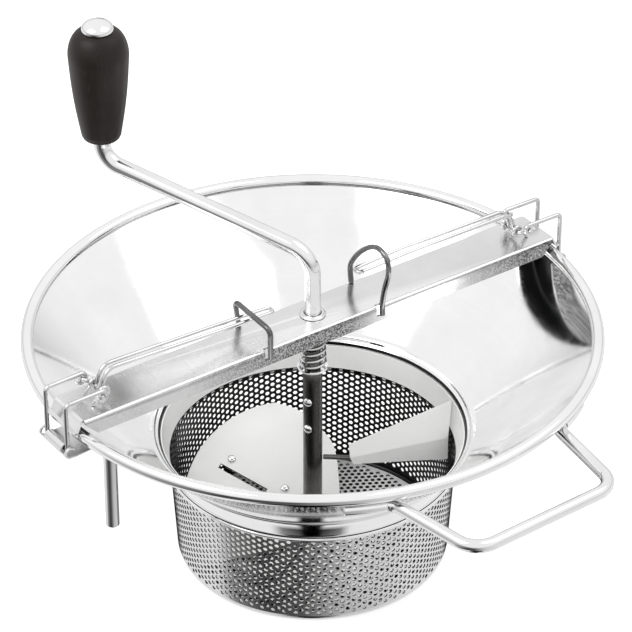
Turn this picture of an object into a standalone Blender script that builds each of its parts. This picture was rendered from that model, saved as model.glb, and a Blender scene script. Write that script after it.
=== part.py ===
"""Hand-cranked rotary food mill with a wide dish, a perforated drum and a clamped bridge bar.

Metres, +Z up. The origin is the centre of the drum's flat floor, on which the mill stands.
X runs along the bridge bar, and the carrying handle points to -Y.
"""

import math

import bmesh
import bpy
from mathutils import Matrix, Vector

MM = 0.001
GAP = 0.3 * MM                      # clearance between pieces that touch

# Bowl, one pressed sheet
RIM_Z = 165 * MM                    # centre of the rolled rim above the drum's floor
RIM_R = 181 * MM                    # radius to the centre of the roll
BEAD_R = 4 * MM                     # radius of the roll
SHEET = 1.2 * MM
THROAT_R = 102.5 * MM
THROAT_Z = RIM_Z - 76.6 * MM
NECK_TOP_R = 98.9 * MM
NECK_LOW_R = 93.8 * MM
NECK_LOW_Z = RIM_Z - 97 * MM

# Sieve drum
DRUM_TOP_R = 98.6 * MM
DRUM_BAND_R = 93.4 * MM             # where the smooth band meets the perforated wall
DRUM_BAND_Z = RIM_Z - 94.5 * MM
DRUM_LOW_R = 89.4 * MM
DRUM_CORNER = 4 * MM
DRUM_SHEET = 1.2 * MM

# Bridge bar, a channel open below
BAR_HALF_WIDTH = 17.5 * MM
BAR_TOP_Z = RIM_Z + 11.7 * MM
BAR_SHEET = 1.5 * MM
BAR_FLANGE_Z = RIM_Z + 0.3 * MM     # lower edge of the flanges
BAR_FLANGE_END = 170.5 * MM         # lower corner of the flanges' slanted ends
BAR_SLOPE_START = 180 * MM
BAR_SLOPE_END = 184.2 * MM
BAR_END = 187.3 * MM
BAR_BEND = 2.2 * MM                 # outer radius along the channel's long edges
TONGUE_Z = RIM_Z + BEAD_R - 1.4 * MM   # underside of the bar's ends, just outside the rim's top

# Shaft, crank and grip
SHAFT_R = 5.25 * MM
SHAFT_BOTTOM_Z = 9 * MM
CRANK_ANGLE = math.radians(120)     # plan angle of the crank arm
CRANK_LOW_Z = RIM_Z + 56 * MM     # where the arm's line meets the shaft's line
CRANK_REACH = 147.4 * MM
CRANK_HIGH_Z = RIM_Z + 89 * MM
CRANK_BEND = 19 * MM
GRIP_Z = RIM_Z + 105.2 * MM
GRIP_LENGTH = 76.5 * MM
GRIP_LOW_R = 12.2 * MM
GRIP_MAX_R = 19.3 * MM
CAP_R = 10.2 * MM
CAP_HEIGHT = 6.5 * MM

# Spring and hub
SPRING_LOW_R = 8.4 * MM             # the spring narrows towards its top
SPRING_TOP_R = 6.8 * MM
SPRING_WIRE_R = 1 * MM
SPRING_TURNS = 8
SPRING_TOP_Z = BAR_TOP_Z - BAR_SHEET - GAP
SPRING_LOW_Z = RIM_Z - 27 * MM
WASHER_R = 10 * MM
WASHER_THICK = 1.6 * MM
SLEEVE_R = 6.3 * MM
SLEEVE_LOW_Z = 6 * MM
PIN_R = 1.8 * MM
PIN_HEAD_R = 3 * MM
PIN_ANGLE = math.radians(-154)
PIN_HEIGHTS = (RIM_Z - 53 * MM, RIM_Z - 74 * MM)

# Rotor blade and wing
BLADE_R = 86 * MM
BLADE_THICK = 1.5 * MM
BLADE_TILT = math.radians(26.8)
BLADE_UP_ANGLE = math.radians(77.5)  # plan direction in which the blade rises
BLADE_AXIS_Z = 6.2 * MM             # height of its plane on the shaft's axis
BLADE_FRONT = 7 * MM                # how far it reaches past the axis on its low side
BLADE_TRIM_ANGLE = math.radians(84.7)  # where its trimmed side leaves the round edge
BLADE_TRIM = ((22, 76.5), (33, 58), (35, 45.5), (30, 27), (24, 12))  # plan places on that side, in mm
BLADE_FRONT_X = 12 * MM
WING_PLACE = (16.8 * MM, -18.3 * MM)  # plan position of the fold line's inner end
WING_ANGLE = math.radians(-16.1)    # plan direction of the fold line
WING_Z = RIM_Z - 97 * MM            # height of the fold line
WING_THICK = 1.5 * MM
WING_LENGTH = 68.1 * MM             # the fold line's outer end stays clear of the drum's wall
WING_RISE = 20.5 * MM               # height of the sloping panel at its outer end
WING_LEAN = 0.6                     # how far the panel goes back for each unit it rises
WING_INNER_RISE = 7.3 * MM
WING_OVERHANG = 6.6 * MM            # the panel's top reaches out over the fold line's end
WING_DROP = 17 * MM                 # height of the upright strip at its outer end
WING_INNER_DROP = 5.4 * MM
WING_ARM_R = 1.7 * MM
WING_ARM_DROP = 2.8 * MM
RIVET_PLACES = (-20.3 * MM, 20.3 * MM)
RIVET_HEAD_R = 2.9 * MM
RIVET_HEAD_H = 1.5 * MM
RIVET_R = 1.5 * MM
RIVET_HOLE_R = 1.8 * MM
BRACE_CENTRE = (-12 * MM, 46.2 * MM)  # plan position of the brace's middle, in the mill's frame
BRACE_ANGLE = math.radians(116.5)
SLOT_PLACE = (7 * MM, 8.7 * MM)   # middle of the blade's slot, on the brace's axes
SLOT_HALF_LENGTH = 17.8 * MM
SLOT_HALF_WIDTH = 1.5 * MM
BRACE_THICK = 1.5 * MM

# Wires
HOOP_WIRE_R = 1.8 * MM
LEVER_WIRE_R = 1.4 * MM
EYE_WIRE_R = 1.3 * MM
BAIL_WIRE_R = 1.5 * MM
HANDLE_R = 4 * MM
LEG_R = 4.3 * MM

# Hoops: distance of each from the shaft along the bar, and their legs across it
HOOP_LEFT_X = -45 * MM
HOOP_RIGHT_X = 41 * MM
HOOP_NEAR_Y = -18.6 * MM
HOOP_FAR_Y = 15.5 * MM
HOOP_FOOT_Z = BAR_TOP_Z - 6.5 * MM
NOTCH_HALF = 2.4 * MM
NOTCH_SPARE = 0.8 * MM              # each notch reaches this much further towards -X

# Latches, for the right-hand one; the left-hand one is its mirror image
PIVOT_X = 159 * MM
PIVOT_Z = RIM_Z + 18.8 * MM
CRANK_PIN_X = PIVOT_X + 5.5 * MM
CRANK_PIN_Z = PIVOT_Z + 2.5 * MM
EYE_FOOT_X = 167 * MM
LEVER_Y = 2.6 * MM
EYE_Y = 5.6 * MM
WEB_Y = 8.6 * MM
BAIL_Y = 11.7 * MM
LEVER_RIGHT_TIP = 34 * MM
LEVER_LEFT_TIP = 28 * MM
LEVER_LEFT_ASIDE = 5.4 * MM         # the left lever's tip stands this far off the bar's middle
LEVER_KNEE = (155 * MM, RIM_Z + 32 * MM)   # where its arms turn down towards the pivot
LEVER_KNEE_R = 9 * MM
LEVER_MID_X = 70 * MM
LEVER_MID_Z = RIM_Z + 7.5 * MM
BAIL_X = 190 * MM
CATCH_Z = RIM_Z - 9 * MM
CATCH_HALF_WIDTH = 15.5 * MM
CATCH_INNER_R = 2.75 * MM
CATCH_SHEET = 1.1 * MM
CATCH_SEAT = (171 * MM, RIM_Z - 11.1 * MM)  # where its plate meets the slope of the dish
CATCH_TAIL = 14 * MM                # length of the plate along that slope
BAIL_SLOT_HALF = 2.2 * MM

# Handle and legs
HANDLE_Z = RIM_Z - 9.7 * MM
HANDLE_SEAT_R = 178 * MM            # the ends follow the rim's underside at this radius
HANDLE_HALF_ANGLE = math.radians(31)
HANDLE_ROOT_ANGLE = math.radians(21)
HANDLE_OUT_Y = -231 * MM
HANDLE_OUT_X = 54 * MM
HANDLE_BEND = 16 * MM
HANDLE_TURN = math.radians(1.8)      # it stands a little askew, towards +X
LEG_X = 153.2 * MM
LEG_LOW_Z = RIM_Z - 88.4 * MM

STEEL = (0.80, 0.80, 0.79, 1)
BRIGHT_STEEL = (0.86, 0.86, 0.86, 1)
SPRING_STEEL = (0.70, 0.70, 0.70, 1)
BLACK_PLASTIC = (0.03, 0.022, 0.018, 1)


# ---------------------------------------------------------------- scene and materials

def clear_scene():
    for old in list(bpy.data.objects):
        bpy.data.objects.remove(old, do_unlink=True)


def make_collection(name):
    made = bpy.data.collections.new(name)
    bpy.context.scene.collection.children.link(made)
    return made


def make_material(name, colour, roughness, metallic):
    made = bpy.data.materials.new(name)
    made.use_nodes = True
    shader = made.node_tree.nodes["Principled BSDF"]
    shader.inputs["Base Color"].default_value = colour
    shader.inputs["Roughness"].default_value = roughness
    shader.inputs["Metallic"].default_value = metallic
    return made


clear_scene()
PARTS = make_collection("food_mill")
CUTTERS = make_collection("cutters")
POLISHED = make_material("polished_steel", BRIGHT_STEEL, 0.12, 1.0)
SATIN = make_material("satin_steel", STEEL, 0.25, 1.0)
SPRING_WIRE = make_material("spring_wire", SPRING_STEEL, 0.3, 1.0)
PLASTIC = make_material("black_plastic", BLACK_PLASTIC, 0.35, 0.0)


# ---------------------------------------------------------------- helpers

def polar(radius, angle, z=0.0):
    return Vector((radius * math.cos(angle), radius * math.sin(angle), z))


def add_object(name, data, material, collection=None):
    made = bpy.data.objects.new(name, data)
    (collection or PARTS).objects.link(made)
    if material:
        data.materials.append(material)
    return made


def turned(name, profile, material, steps=48, collection=None):
    """Turn a closed outline of (radius, z) points about Z; it runs down its outer side."""
    mesh = bpy.data.meshes.new(name)
    points = [(radius, 0, z) for radius, z in profile]
    count = len(points)
    mesh.from_pydata(points, [(i, (i + 1) % count) for i in range(count)], [])
    made = add_object(name, mesh, material, collection)
    screw = made.modifiers.new("turn", "SCREW")
    screw.angle = 2 * math.pi
    screw.steps = steps
    screw.render_steps = steps
    screw.use_merge_vertices = True
    screw.merge_threshold = 0.00001
    screw.use_smooth_shade = True
    return made


def arc(centre, radius, start, end, count):
    """Points (a, b) on an arc; the angles are in degrees."""
    angles = [math.radians(start + (end - start) * i / count) for i in range(count + 1)]
    return [(centre[0] + radius * math.cos(a), centre[1] + radius * math.sin(a)) for a in angles]


def rounded(corners, radii, step=20):
    """A path through the corners, each rounded to its radius by an arc."""
    corners = [Vector(c) for c in corners]
    path = [corners[0]]
    for before, corner, after, radius in zip(corners, corners[1:], corners[2:], radii):
        towards = (before - corner).normalized()
        onwards = (after - corner).normalized()
        turn = math.pi - towards.angle(onwards)
        if turn < math.radians(2):
            path.append(corner)
            continue
        reach = radius * math.tan(turn / 2)
        centre = corner + (towards + onwards).normalized() * (radius / math.cos(turn / 2))
        arm = corner + towards * reach - centre
        axis = arm.cross(corner + onwards * reach - centre).normalized()
        count = max(2, round(math.degrees(turn) / step))
        path += [centre + Matrix.Rotation(turn * i / count, 3, axis) @ arm for i in range(count + 1)]
    return path + [corners[-1]]


def smooth(points, per_span):
    """A Catmull-Rom curve through the points."""
    points = [Vector(p) for p in points]
    ends = [2 * points[0] - points[1]] + points + [2 * points[-1] - points[-2]]
    path = []
    for a, b, c, d in zip(ends, ends[1:], ends[2:], ends[3:]):
        for i in range(per_span):
            t = i / per_span
            path.append(0.5 * (2 * b + (c - a) * t + (2 * a - 5 * b + 4 * c - d) * t ** 2
                               + (3 * b - a - 3 * c + d) * t ** 3))
    return path + [points[-1]]


def wire(name, points, radius, material, resolution=2):
    """A round wire along the points, as a curve with filled caps."""
    curve = bpy.data.curves.new(name, "CURVE")
    curve.dimensions = "3D"
    curve.bevel_depth = radius
    curve.bevel_resolution = resolution
    curve.use_fill_caps = True
    spline = curve.splines.new("POLY")
    spline.points.add(len(points) - 1)
    for slot, point in zip(spline.points, points):
        slot.co = (*point, 1)
    return add_object(name, curve, material)


def wire_mesh(name, points, radius, material, resolution=2):
    """A wire as a mesh with welded caps, which Boolean modifiers can take."""
    source = wire(name + "_curve", points, radius, None, resolution)
    bpy.context.view_layer.update()
    graph = bpy.context.evaluated_depsgraph_get()
    mesh = bpy.data.meshes.new_from_object(source.evaluated_get(graph))
    work = bmesh.new()
    work.from_mesh(mesh)
    bmesh.ops.remove_doubles(work, verts=work.verts, dist=0.00001)
    bmesh.ops.recalc_face_normals(work, faces=work.faces)
    work.to_mesh(mesh)
    work.free()
    made = add_object(name, mesh, material)
    made.matrix_world = source.matrix_world
    bpy.data.objects.remove(source, do_unlink=True)
    return made


def outline_solid(name, points, thickness, material, collection=None):
    """A flat outline in XY, extruded to both sides of Z = 0."""
    curve = bpy.data.curves.new(name, "CURVE")
    curve.dimensions = "2D"
    curve.fill_mode = "BOTH"
    curve.extrude = thickness / 2
    spline = curve.splines.new("POLY")
    spline.points.add(len(points) - 1)
    for slot, point in zip(spline.points, points):
        slot.co = (point[0], point[1], 0, 1)
    spline.use_cyclic_u = True
    source = add_object(name + "_curve", curve, None, collection)
    bpy.context.view_layer.update()
    graph = bpy.context.evaluated_depsgraph_get()
    mesh = bpy.data.meshes.new_from_object(source.evaluated_get(graph))
    work = bmesh.new()
    work.from_mesh(mesh)
    bmesh.ops.remove_doubles(work, verts=work.verts, dist=0.00001)
    bmesh.ops.recalc_face_normals(work, faces=work.faces)
    work.to_mesh(mesh)
    work.free()
    bpy.data.objects.remove(source, do_unlink=True)
    return add_object(name, mesh, material, collection)


def box_cutter(name, low, high):
    bpy.ops.mesh.primitive_cube_add(size=1)
    made = bpy.context.object
    made.name = name
    low = Vector(low)
    high = Vector(high)
    made.data.transform(Matrix.Translation((low + high) / 2) @ Matrix.Diagonal((*(high - low), 1)))
    return as_cutter(made)


def rod_cutter(name, radius, start, end, vertices=24):
    start = Vector(start)
    end = Vector(end)
    bpy.ops.mesh.primitive_cylinder_add(vertices=vertices, radius=radius, depth=(end - start).length)
    made = bpy.context.object
    made.name = name
    made.rotation_euler = (end - start).to_track_quat("Z", "Y").to_euler()
    made.location = (start + end) / 2
    return as_cutter(made)


def as_cutter(made):
    for held in list(made.users_collection):
        held.objects.unlink(made)
    CUTTERS.objects.link(made)
    made.hide_render = True
    made.display_type = "WIRE"
    return made


def boolean(target, cutter, operation="DIFFERENCE"):
    change = target.modifiers.new(operation.lower(), "BOOLEAN")
    change.operation = operation
    change.solver = "EXACT"
    change.object = cutter
    return target


def mirrored(points, side):
    """Points of the right-hand latch, carried to the given side (+1 right, -1 left)."""
    return [Vector((side * p[0], p[1], p[2])) for p in points]


# ---------------------------------------------------------------- bowl and drum

def make_bowl():
    """The dish with its rolled rim and the tapered neck that the drum seats in."""
    lean = math.atan2(RIM_Z - THROAT_Z, RIM_R - THROAT_R)
    up = (-math.sin(lean) * SHEET / 2, math.cos(lean) * SHEET / 2)
    degrees = math.degrees(lean)
    rim = arc((RIM_R, RIM_Z), BEAD_R, 180 + degrees - 9, 180 + degrees + 9 - 360, 11)
    throat_out = arc((THROAT_R, THROAT_Z), 1.6 * MM, 30, -100, 3)
    outer = [
        (NECK_TOP_R + SHEET, THROAT_Z - 5 * MM),
        (NECK_LOW_R + SHEET + 0.6 * MM, NECK_LOW_Z + 4 * MM),
        (NECK_LOW_R + SHEET + 1.2 * MM, NECK_LOW_Z + 1.2 * MM),
        (NECK_LOW_R + SHEET, NECK_LOW_Z),
    ]
    inner = [
        (NECK_LOW_R, NECK_LOW_Z),
        (NECK_TOP_R, THROAT_Z - 3.2 * MM),
        (THROAT_R - 1.2 * MM, THROAT_Z + 0.2 * MM),
        (THROAT_R + up[0], THROAT_Z + up[1] + 1.4 * MM),
    ]
    return turned("bowl", rim + throat_out + outer + inner, POLISHED, steps=64)


def make_drum():
    """The sieve: a smooth tapered band at the top, the straining wall and a flat floor."""
    corner = arc((DRUM_LOW_R - DRUM_CORNER, DRUM_CORNER), DRUM_CORNER, 0, -90, 3)
    corner_in = arc((DRUM_LOW_R - DRUM_CORNER, DRUM_CORNER), DRUM_CORNER - DRUM_SHEET, -90, 0, 3)
    band_top = THROAT_Z - 2.6 * MM
    outer = [(DRUM_TOP_R, band_top), (DRUM_BAND_R, DRUM_BAND_Z)] + corner
    inner = corner_in + [(DRUM_BAND_R - DRUM_SHEET, DRUM_BAND_Z), (DRUM_TOP_R - DRUM_SHEET, band_top)]
    axis = [(0, 0), (0, DRUM_SHEET)]
    return turned("sieve_drum", outer + axis + inner, SATIN, steps=64)


# ---------------------------------------------------------------- bridge bar

def make_bar():
    """A channel with its web on top; the web runs on past the flanges as a tongue over the rim."""
    half = BAR_HALF_WIDTH
    inside = half - BAR_SHEET
    bend_in = max(BAR_BEND - BAR_SHEET, 0.4 * MM)
    top = BAR_TOP_Z
    section = (
        [(-half, BAR_FLANGE_Z)]
        + arc((-half + BAR_BEND, top - BAR_BEND), BAR_BEND, 180, 90, 3)
        + arc((half - BAR_BEND, top - BAR_BEND), BAR_BEND, 90, 0, 3)
        + [(half, BAR_FLANGE_Z), (inside, BAR_FLANGE_Z)]
        + arc((inside - bend_in, top - BAR_SHEET - bend_in), bend_in, 0, 90, 2)
        + arc((-inside + bend_in, top - BAR_SHEET - bend_in), bend_in, 90, 180, 2)
        + [(-inside, BAR_FLANGE_Z)]
    )
    channel = outline_solid("bridge_bar", section, 2 * BAR_SLOPE_START, POLISHED)
    channel.data.transform(Matrix(((0, 0, 1, 0), (1, 0, 0, 0), (0, 1, 0, 0), (0, 0, 0, 1))))
    for side, label in ((1, "right"), (-1, "left")):
        boolean(channel, flange_end(side, label))
        boolean(channel, tongue(side, label), "UNION")
    boolean(channel, rod_cutter("shaft_hole", SHAFT_R + 0.35 * MM, (0, 0, RIM_Z), (0, 0, top + 0.01), 24))
    for x, label in ((HOOP_LEFT_X, "left"), (HOOP_RIGHT_X, "right")):
        notch = box_cutter(
            "hoop_notch_" + label,
            (x - NOTCH_HALF - NOTCH_SPARE, HOOP_NEAR_Y - 4 * MM, HOOP_FOOT_Z - 0.6 * MM),
            (x + NOTCH_HALF, HOOP_NEAR_Y + 4.4 * MM, BAR_TOP_Z + 5 * MM),
        )
        boolean(channel, notch)
    return channel


def upright_outline(name, points, width, side, material=None, collection=None):
    """An outline of (x, z) points for the right-hand side, extruded to both sides of Y = 0."""
    made = outline_solid(name, [(side * x, z) for x, z in points], width, material, collection)
    made.data.transform(Matrix(((1, 0, 0, 0), (0, 0, 1, 0), (0, 1, 0, 0), (0, 0, 0, 1))))
    fix_normals(made)
    return made


def flange_end(side, label):
    """Cuts the flanges back at a slant below the web."""
    web = BAR_TOP_Z - BAR_SHEET
    low = BAR_FLANGE_Z - 1 * MM
    profile = [(BAR_FLANGE_END, low), (BAR_SLOPE_START + 1 * MM, web),
               (BAR_SLOPE_START + 9 * MM, web), (BAR_SLOPE_START + 9 * MM, low)]
    return as_cutter(upright_outline("flange_end_" + label, profile, 50 * MM, side, None, CUTTERS))


def tongue(side, label):
    """The web's end: it steps down and lies on the rolled rim."""
    low = TONGUE_Z
    high = BAR_TOP_Z - BAR_SHEET
    profile = [
        (BAR_SLOPE_START - 4 * MM, high),
        (BAR_SLOPE_START + 1 * MM, high),
        (BAR_SLOPE_END, low),
        (BAR_END, low - 0.4 * MM),
        (BAR_END, low - 0.4 * MM + BAR_SHEET),
        (BAR_SLOPE_END + 0.6 * MM, low + BAR_SHEET),
        (BAR_SLOPE_START + 1.6 * MM, high + BAR_SHEET),
        (BAR_SLOPE_START - 4 * MM, high + BAR_SHEET),
    ]
    width = 2 * (BAR_HALF_WIDTH - BAR_BEND)
    return as_cutter(upright_outline("tongue_" + label, profile, width, side, None, CUTTERS))


def fix_normals(made):
    work = bmesh.new()
    work.from_mesh(made.data)
    bmesh.ops.recalc_face_normals(work, faces=work.faces)
    work.to_mesh(made.data)
    work.free()


def make_shaft_ring():
    low = BAR_TOP_Z + GAP
    inner = SHAFT_R + 0.4 * MM
    profile = [(8.6 * MM, low), (inner, low), (inner, low + 1.4 * MM), (7.4 * MM, low + 1.4 * MM)]
    return turned("shaft_ring", profile, POLISHED, steps=24)


# ---------------------------------------------------------------- crank, grip, spring

def make_crank():
    out = polar(1, CRANK_ANGLE)
    low = Vector((0, 0, CRANK_LOW_Z))
    high = out * CRANK_REACH + Vector((0, 0, CRANK_HIGH_Z))
    end = out * CRANK_REACH + Vector((0, 0, GRIP_Z + GRIP_LENGTH - GAP))
    path = rounded([(0, 0, SHAFT_BOTTOM_Z), low, high, end], (CRANK_BEND, CRANK_BEND * 0.8), step=10)
    rod = wire_mesh("crank_rod", path, SHAFT_R, POLISHED, resolution=4)
    for index, z in enumerate(PIN_HEIGHTS):
        boolean(rod, pin_hole("crank_pin_hole_%d" % index, z))
    return rod


def pin_hole(name, z):
    reach = polar(SLEEVE_R + 2 * MM, PIN_ANGLE)
    centre = Vector((0, 0, z))
    return rod_cutter(name, PIN_R + GAP, centre - reach, centre + reach, 12)


def grip_profile():
    """Outer outline from the rounded top down to the bottom, then up the bore."""
    top = GRIP_Z + GRIP_LENGTH
    widest = GRIP_Z + 0.78 * GRIP_LENGTH
    dome = []
    for i in range(6):
        t = math.radians(90 * i / 5)
        dome.append((CAP_R - 1 * MM + (GRIP_MAX_R - CAP_R + 1 * MM) * math.sin(t),
                     widest + (top - widest) * math.cos(t)))
    side = []
    for i in range(1, 6):
        t = i / 6
        bulge = math.sin(math.pi * t) * 1.1 * MM
        side.append((GRIP_MAX_R + (GRIP_LOW_R - GRIP_MAX_R) * t + bulge, widest + (GRIP_Z - widest) * t))
    foot = arc((GRIP_LOW_R - 2 * MM, GRIP_Z + 2 * MM), 2 * MM, 0, -90, 2)
    bore = SHAFT_R + 0.35 * MM
    return dome + side + foot + [(bore, GRIP_Z), (bore, top)]


def make_grip():
    grip = turned("grip", grip_profile(), PLASTIC, steps=28)
    grip.location = polar(CRANK_REACH, CRANK_ANGLE)
    low = GRIP_Z + GRIP_LENGTH + GAP
    dome = [(CAP_R * math.sin(math.radians(a)), low + CAP_HEIGHT * math.cos(math.radians(a)))
            for a in (0, 22.5, 45, 67.5, 90)]
    cap = turned("grip_cap", dome + [(0, low)], POLISHED, steps=24)
    cap.location = grip.location


def make_spring():
    count = SPRING_TURNS * 12
    path = []
    for i in range(count + 1):
        t = i / count
        z = SPRING_LOW_Z + SPRING_WIRE_R + (SPRING_TOP_Z - SPRING_LOW_Z - 2 * SPRING_WIRE_R) * t
        radius = SPRING_LOW_R + (SPRING_TOP_R - SPRING_LOW_R) * t
        path.append(polar(radius, 2 * math.pi * SPRING_TURNS * t, z))
    wire("thrust_spring", path, SPRING_WIRE_R, SPRING_WIRE)
    top = SPRING_LOW_Z - GAP
    inner = SHAFT_R + 0.35 * MM
    low = top - WASHER_THICK
    turned("spring_washer", [(WASHER_R, top), (WASHER_R, low), (inner, low), (inner, top)], SATIN, steps=24)


def make_sleeve():
    top = SPRING_LOW_Z - 2 * GAP - WASHER_THICK
    inner = SHAFT_R + GAP
    profile = [(SLEEVE_R, top), (SLEEVE_R, SLEEVE_LOW_Z), (inner, SLEEVE_LOW_Z), (inner, top)]
    sleeve = turned("hub_sleeve", profile, POLISHED, steps=28)
    for index, z in enumerate(PIN_HEIGHTS):
        boolean(sleeve, pin_hole("sleeve_pin_hole_%d" % index, z))
        make_hub_pin("hub_pin_%d" % (index + 1), z)


def make_hub_pin(name, z):
    """A riveted cross pin: a thin shank with a domed head at each end."""
    half = SLEEVE_R + GAP
    head = [(PIN_HEAD_R * math.cos(math.radians(a)), half + 1.4 * MM * math.sin(math.radians(a)))
            for a in (0, 30, 60)]
    down = [(0, half + 1.4 * MM)] + head[::-1] + [(PIN_R, half), (PIN_R, -half)]
    up = [(r, -h) for r, h in head] + [(0, -half - 1.4 * MM)]
    pin = turned(name, down + up, SATIN, steps=12)
    turn = Matrix.Rotation(PIN_ANGLE, 4, "Z") @ Matrix.Rotation(math.pi / 2, 4, "Y")
    pin.matrix_world = Matrix.Translation((0, 0, z)) @ turn


# ---------------------------------------------------------------- rotor

def blade_frame():
    """From the blade's own plane (x along its low edge, y up its slope) to the mill."""
    turn = Matrix.Rotation(BLADE_UP_ANGLE - math.pi / 2, 4, "Z")
    tilt = Matrix.Rotation(BLADE_TILT, 4, "X")
    return Matrix.Translation((0, 0, BLADE_AXIS_Z)) @ turn @ tilt


def make_blade():
    """Half a disc that slopes from the drum's floor up its wall."""
    frame = blade_frame()
    stretch = 1 / math.cos(BLADE_TILT)
    start = BLADE_TRIM_ANGLE
    end = math.pi + math.asin(BLADE_FRONT / BLADE_R)
    outline = []
    for i in range(33):
        x, y, _ = polar(BLADE_R, start + (end - start) * i / 32)
        outline.append((x, y * stretch))
    trim = [(x * MM, y * MM, 0) for x, y in reversed(BLADE_TRIM)]
    side = smooth([(BLADE_FRONT_X, -BLADE_FRONT, 0)] + trim + [polar(BLADE_R, start)], 2)
    outline += [(p.x, p.y * stretch) for p in side[:-1]]
    blade = outline_solid("blade", outline, BLADE_THICK, POLISHED)
    blade.matrix_world = frame
    boolean(blade, rod_cutter("blade_hub_hole", SLEEVE_R + GAP, (0, 0, -0.02), (0, 0, 0.06), 32))
    reach = Vector((SLOT_HALF_LENGTH, SLOT_HALF_WIDTH, 10 * MM))
    slot = box_cutter("blade_slot", -reach, reach)
    slot.matrix_world = brace_frame() @ Matrix.Translation((*SLOT_PLACE, 0))
    boolean(blade, slot)
    for index, x in enumerate(RIVET_PLACES):
        hole = rod_cutter("rivet_hole_%d" % index, RIVET_HOLE_R, (0, 0, -5 * MM), (0, 0, 5 * MM), 12)
        hole.matrix_world = brace_frame() @ Matrix.Translation((x, 0, 0))
        boolean(blade, hole)
        make_rivet("blade_rivet_%d" % (index + 1), x)
    make_brace()


def brace_frame():
    """On the blade's plane, x along the brace."""
    plane = blade_frame()
    normal = plane.to_3x3() @ Vector((0, 0, 1))
    x, y = BRACE_CENTRE
    z = BLADE_AXIS_Z - (normal.x * x + normal.y * y) / normal.z
    along = polar(1, BRACE_ANGLE)
    along = (along - normal * along.dot(normal)).normalized()
    across = normal.cross(along)
    frame = Matrix.Identity(3)
    frame.col[0] = along
    frame.col[1] = across
    frame.col[2] = normal
    return Matrix.Translation((x, y, z)) @ frame.to_4x4()


def make_rivet(name, x):
    half = BLADE_THICK / 2 + GAP
    under = -half - BRACE_THICK - GAP
    dome = [(RIVET_HEAD_R * math.sin(math.radians(a)), half + RIVET_HEAD_H * math.cos(math.radians(a)))
            for a in (0, 30, 60, 90)]
    profile = dome + [(RIVET_R, half), (RIVET_R, under), (0, under)]
    rivet = turned(name, profile, SATIN, steps=12)
    rivet.matrix_world = brace_frame() @ Matrix.Translation((x, 0, 0))


def make_brace():
    """A flat strap under the blade that its rivets hold."""
    drop = BLADE_THICK / 2 + GAP + BRACE_THICK / 2
    brace = outline_solid("blade_brace", stadium(27.3 * MM, 6 * MM), BRACE_THICK, SATIN)
    brace.matrix_world = brace_frame() @ Matrix.Translation((0, 0, -drop))
    for index, x in enumerate(RIVET_PLACES):
        hole = rod_cutter("brace_hole_%d" % index, RIVET_HOLE_R, (0, 0, -8 * MM), (0, 0, 5 * MM), 12)
        hole.matrix_world = brace_frame() @ Matrix.Translation((x, 0, 0))
        boolean(brace, hole)


def stadium(half_length, radius):
    left = arc((-half_length + radius, 0), radius, 90, 270, 6)
    right = arc((half_length - radius, 0), radius, -90, 90, 6)
    return left + right


def make_wing():
    """A folded sheet that sweeps the neck: a sloping triangle over an upright strip."""
    points = [
        (0, 0, 0), (WING_LENGTH, 0, 0),
        (WING_LENGTH + WING_OVERHANG, WING_RISE * WING_LEAN, WING_RISE),
        (0.8 * MM, WING_INNER_RISE * WING_LEAN, WING_INNER_RISE),
        (2 * MM, 0, -WING_INNER_DROP), (WING_LENGTH, 0, -WING_DROP),
    ]
    mesh = bpy.data.meshes.new("wing")
    mesh.from_pydata(points, [], [(0, 1, 2, 3), (4, 5, 1, 0)])
    wing = add_object("wing", mesh, POLISHED)
    skin = wing.modifiers.new("sheet", "SOLIDIFY")
    skin.thickness = WING_THICK
    skin.offset = 0
    wing.matrix_world = wing_frame()
    make_wing_arm()


def wing_frame():
    """X along the wing's fold line, from its inner end."""
    return Matrix.Translation((*WING_PLACE, WING_Z)) @ Matrix.Rotation(WING_ANGLE, 4, "Z")


def make_wing_arm():
    """The short rod that carries the wing from the hub, behind its upright strip."""
    back = WING_THICK / 2 + GAP + WING_ARM_R
    bend = wing_frame() @ Vector((3 * MM, back, -WING_ARM_DROP))
    end = wing_frame() @ Vector((16 * MM, back, -WING_ARM_DROP))
    start = Vector((bend.x, bend.y, 0)).normalized() * (SLEEVE_R + 2 * GAP)
    start.z = bend.z
    wire("wing_arm", rounded([start, bend, end], (5 * MM,)), WING_ARM_R, SATIN)


# ---------------------------------------------------------------- hoops

def make_hoops():
    z = RIM_Z
    foot = BAR_TOP_Z + 1.4 * GAP
    near = HOOP_NEAR_Y
    far = HOOP_FAR_Y
    x = HOOP_LEFT_X
    low_hoop = [(x, near, HOOP_FOOT_Z), (x, near, z + 26.5 * MM), (x - 3 * MM, far + 1 * MM, z + 31 * MM),
                (x - 1 * MM, far, foot)]
    wire("hoop_left", rounded(low_hoop, (5 * MM, 3.5 * MM)), HOOP_WIRE_R, POLISHED)
    x = HOOP_RIGHT_X
    arch = [(x, near, HOOP_FOOT_Z), (x, near, z + 14 * MM), (x, near - 2.2 * MM, z + 26 * MM),
            (x, near - 6 * MM, z + 40 * MM), (x, near - 4 * MM, z + 50 * MM), (x, -14 * MM, z + 53 * MM),
            (x, -5 * MM, z + 49.5 * MM), (x, 5 * MM, z + 41 * MM), (x, 13 * MM, z + 31 * MM),
            (x, far + 1 * MM, z + 23 * MM), (x, far, foot)]
    wire("hoop_right", smooth(arch, 3), HOOP_WIRE_R, POLISHED)


# ---------------------------------------------------------------- latches

def loop(centre_x, centre_z, radius, y, start, end, count):
    """Points of an arc in a plane of constant Y; the angles are in degrees, from +X towards +Z."""
    return [Vector((a, y, b)) for a, b in arc((centre_x, centre_z), radius, start, end, count)]


def across(path):
    """A half path on the -Y side, carried on by its mirror image in Y."""
    other = [Vector((p[0], -p[1], p[2])) for p in reversed(path)]
    return [Vector(p) for p in path] + other


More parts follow.
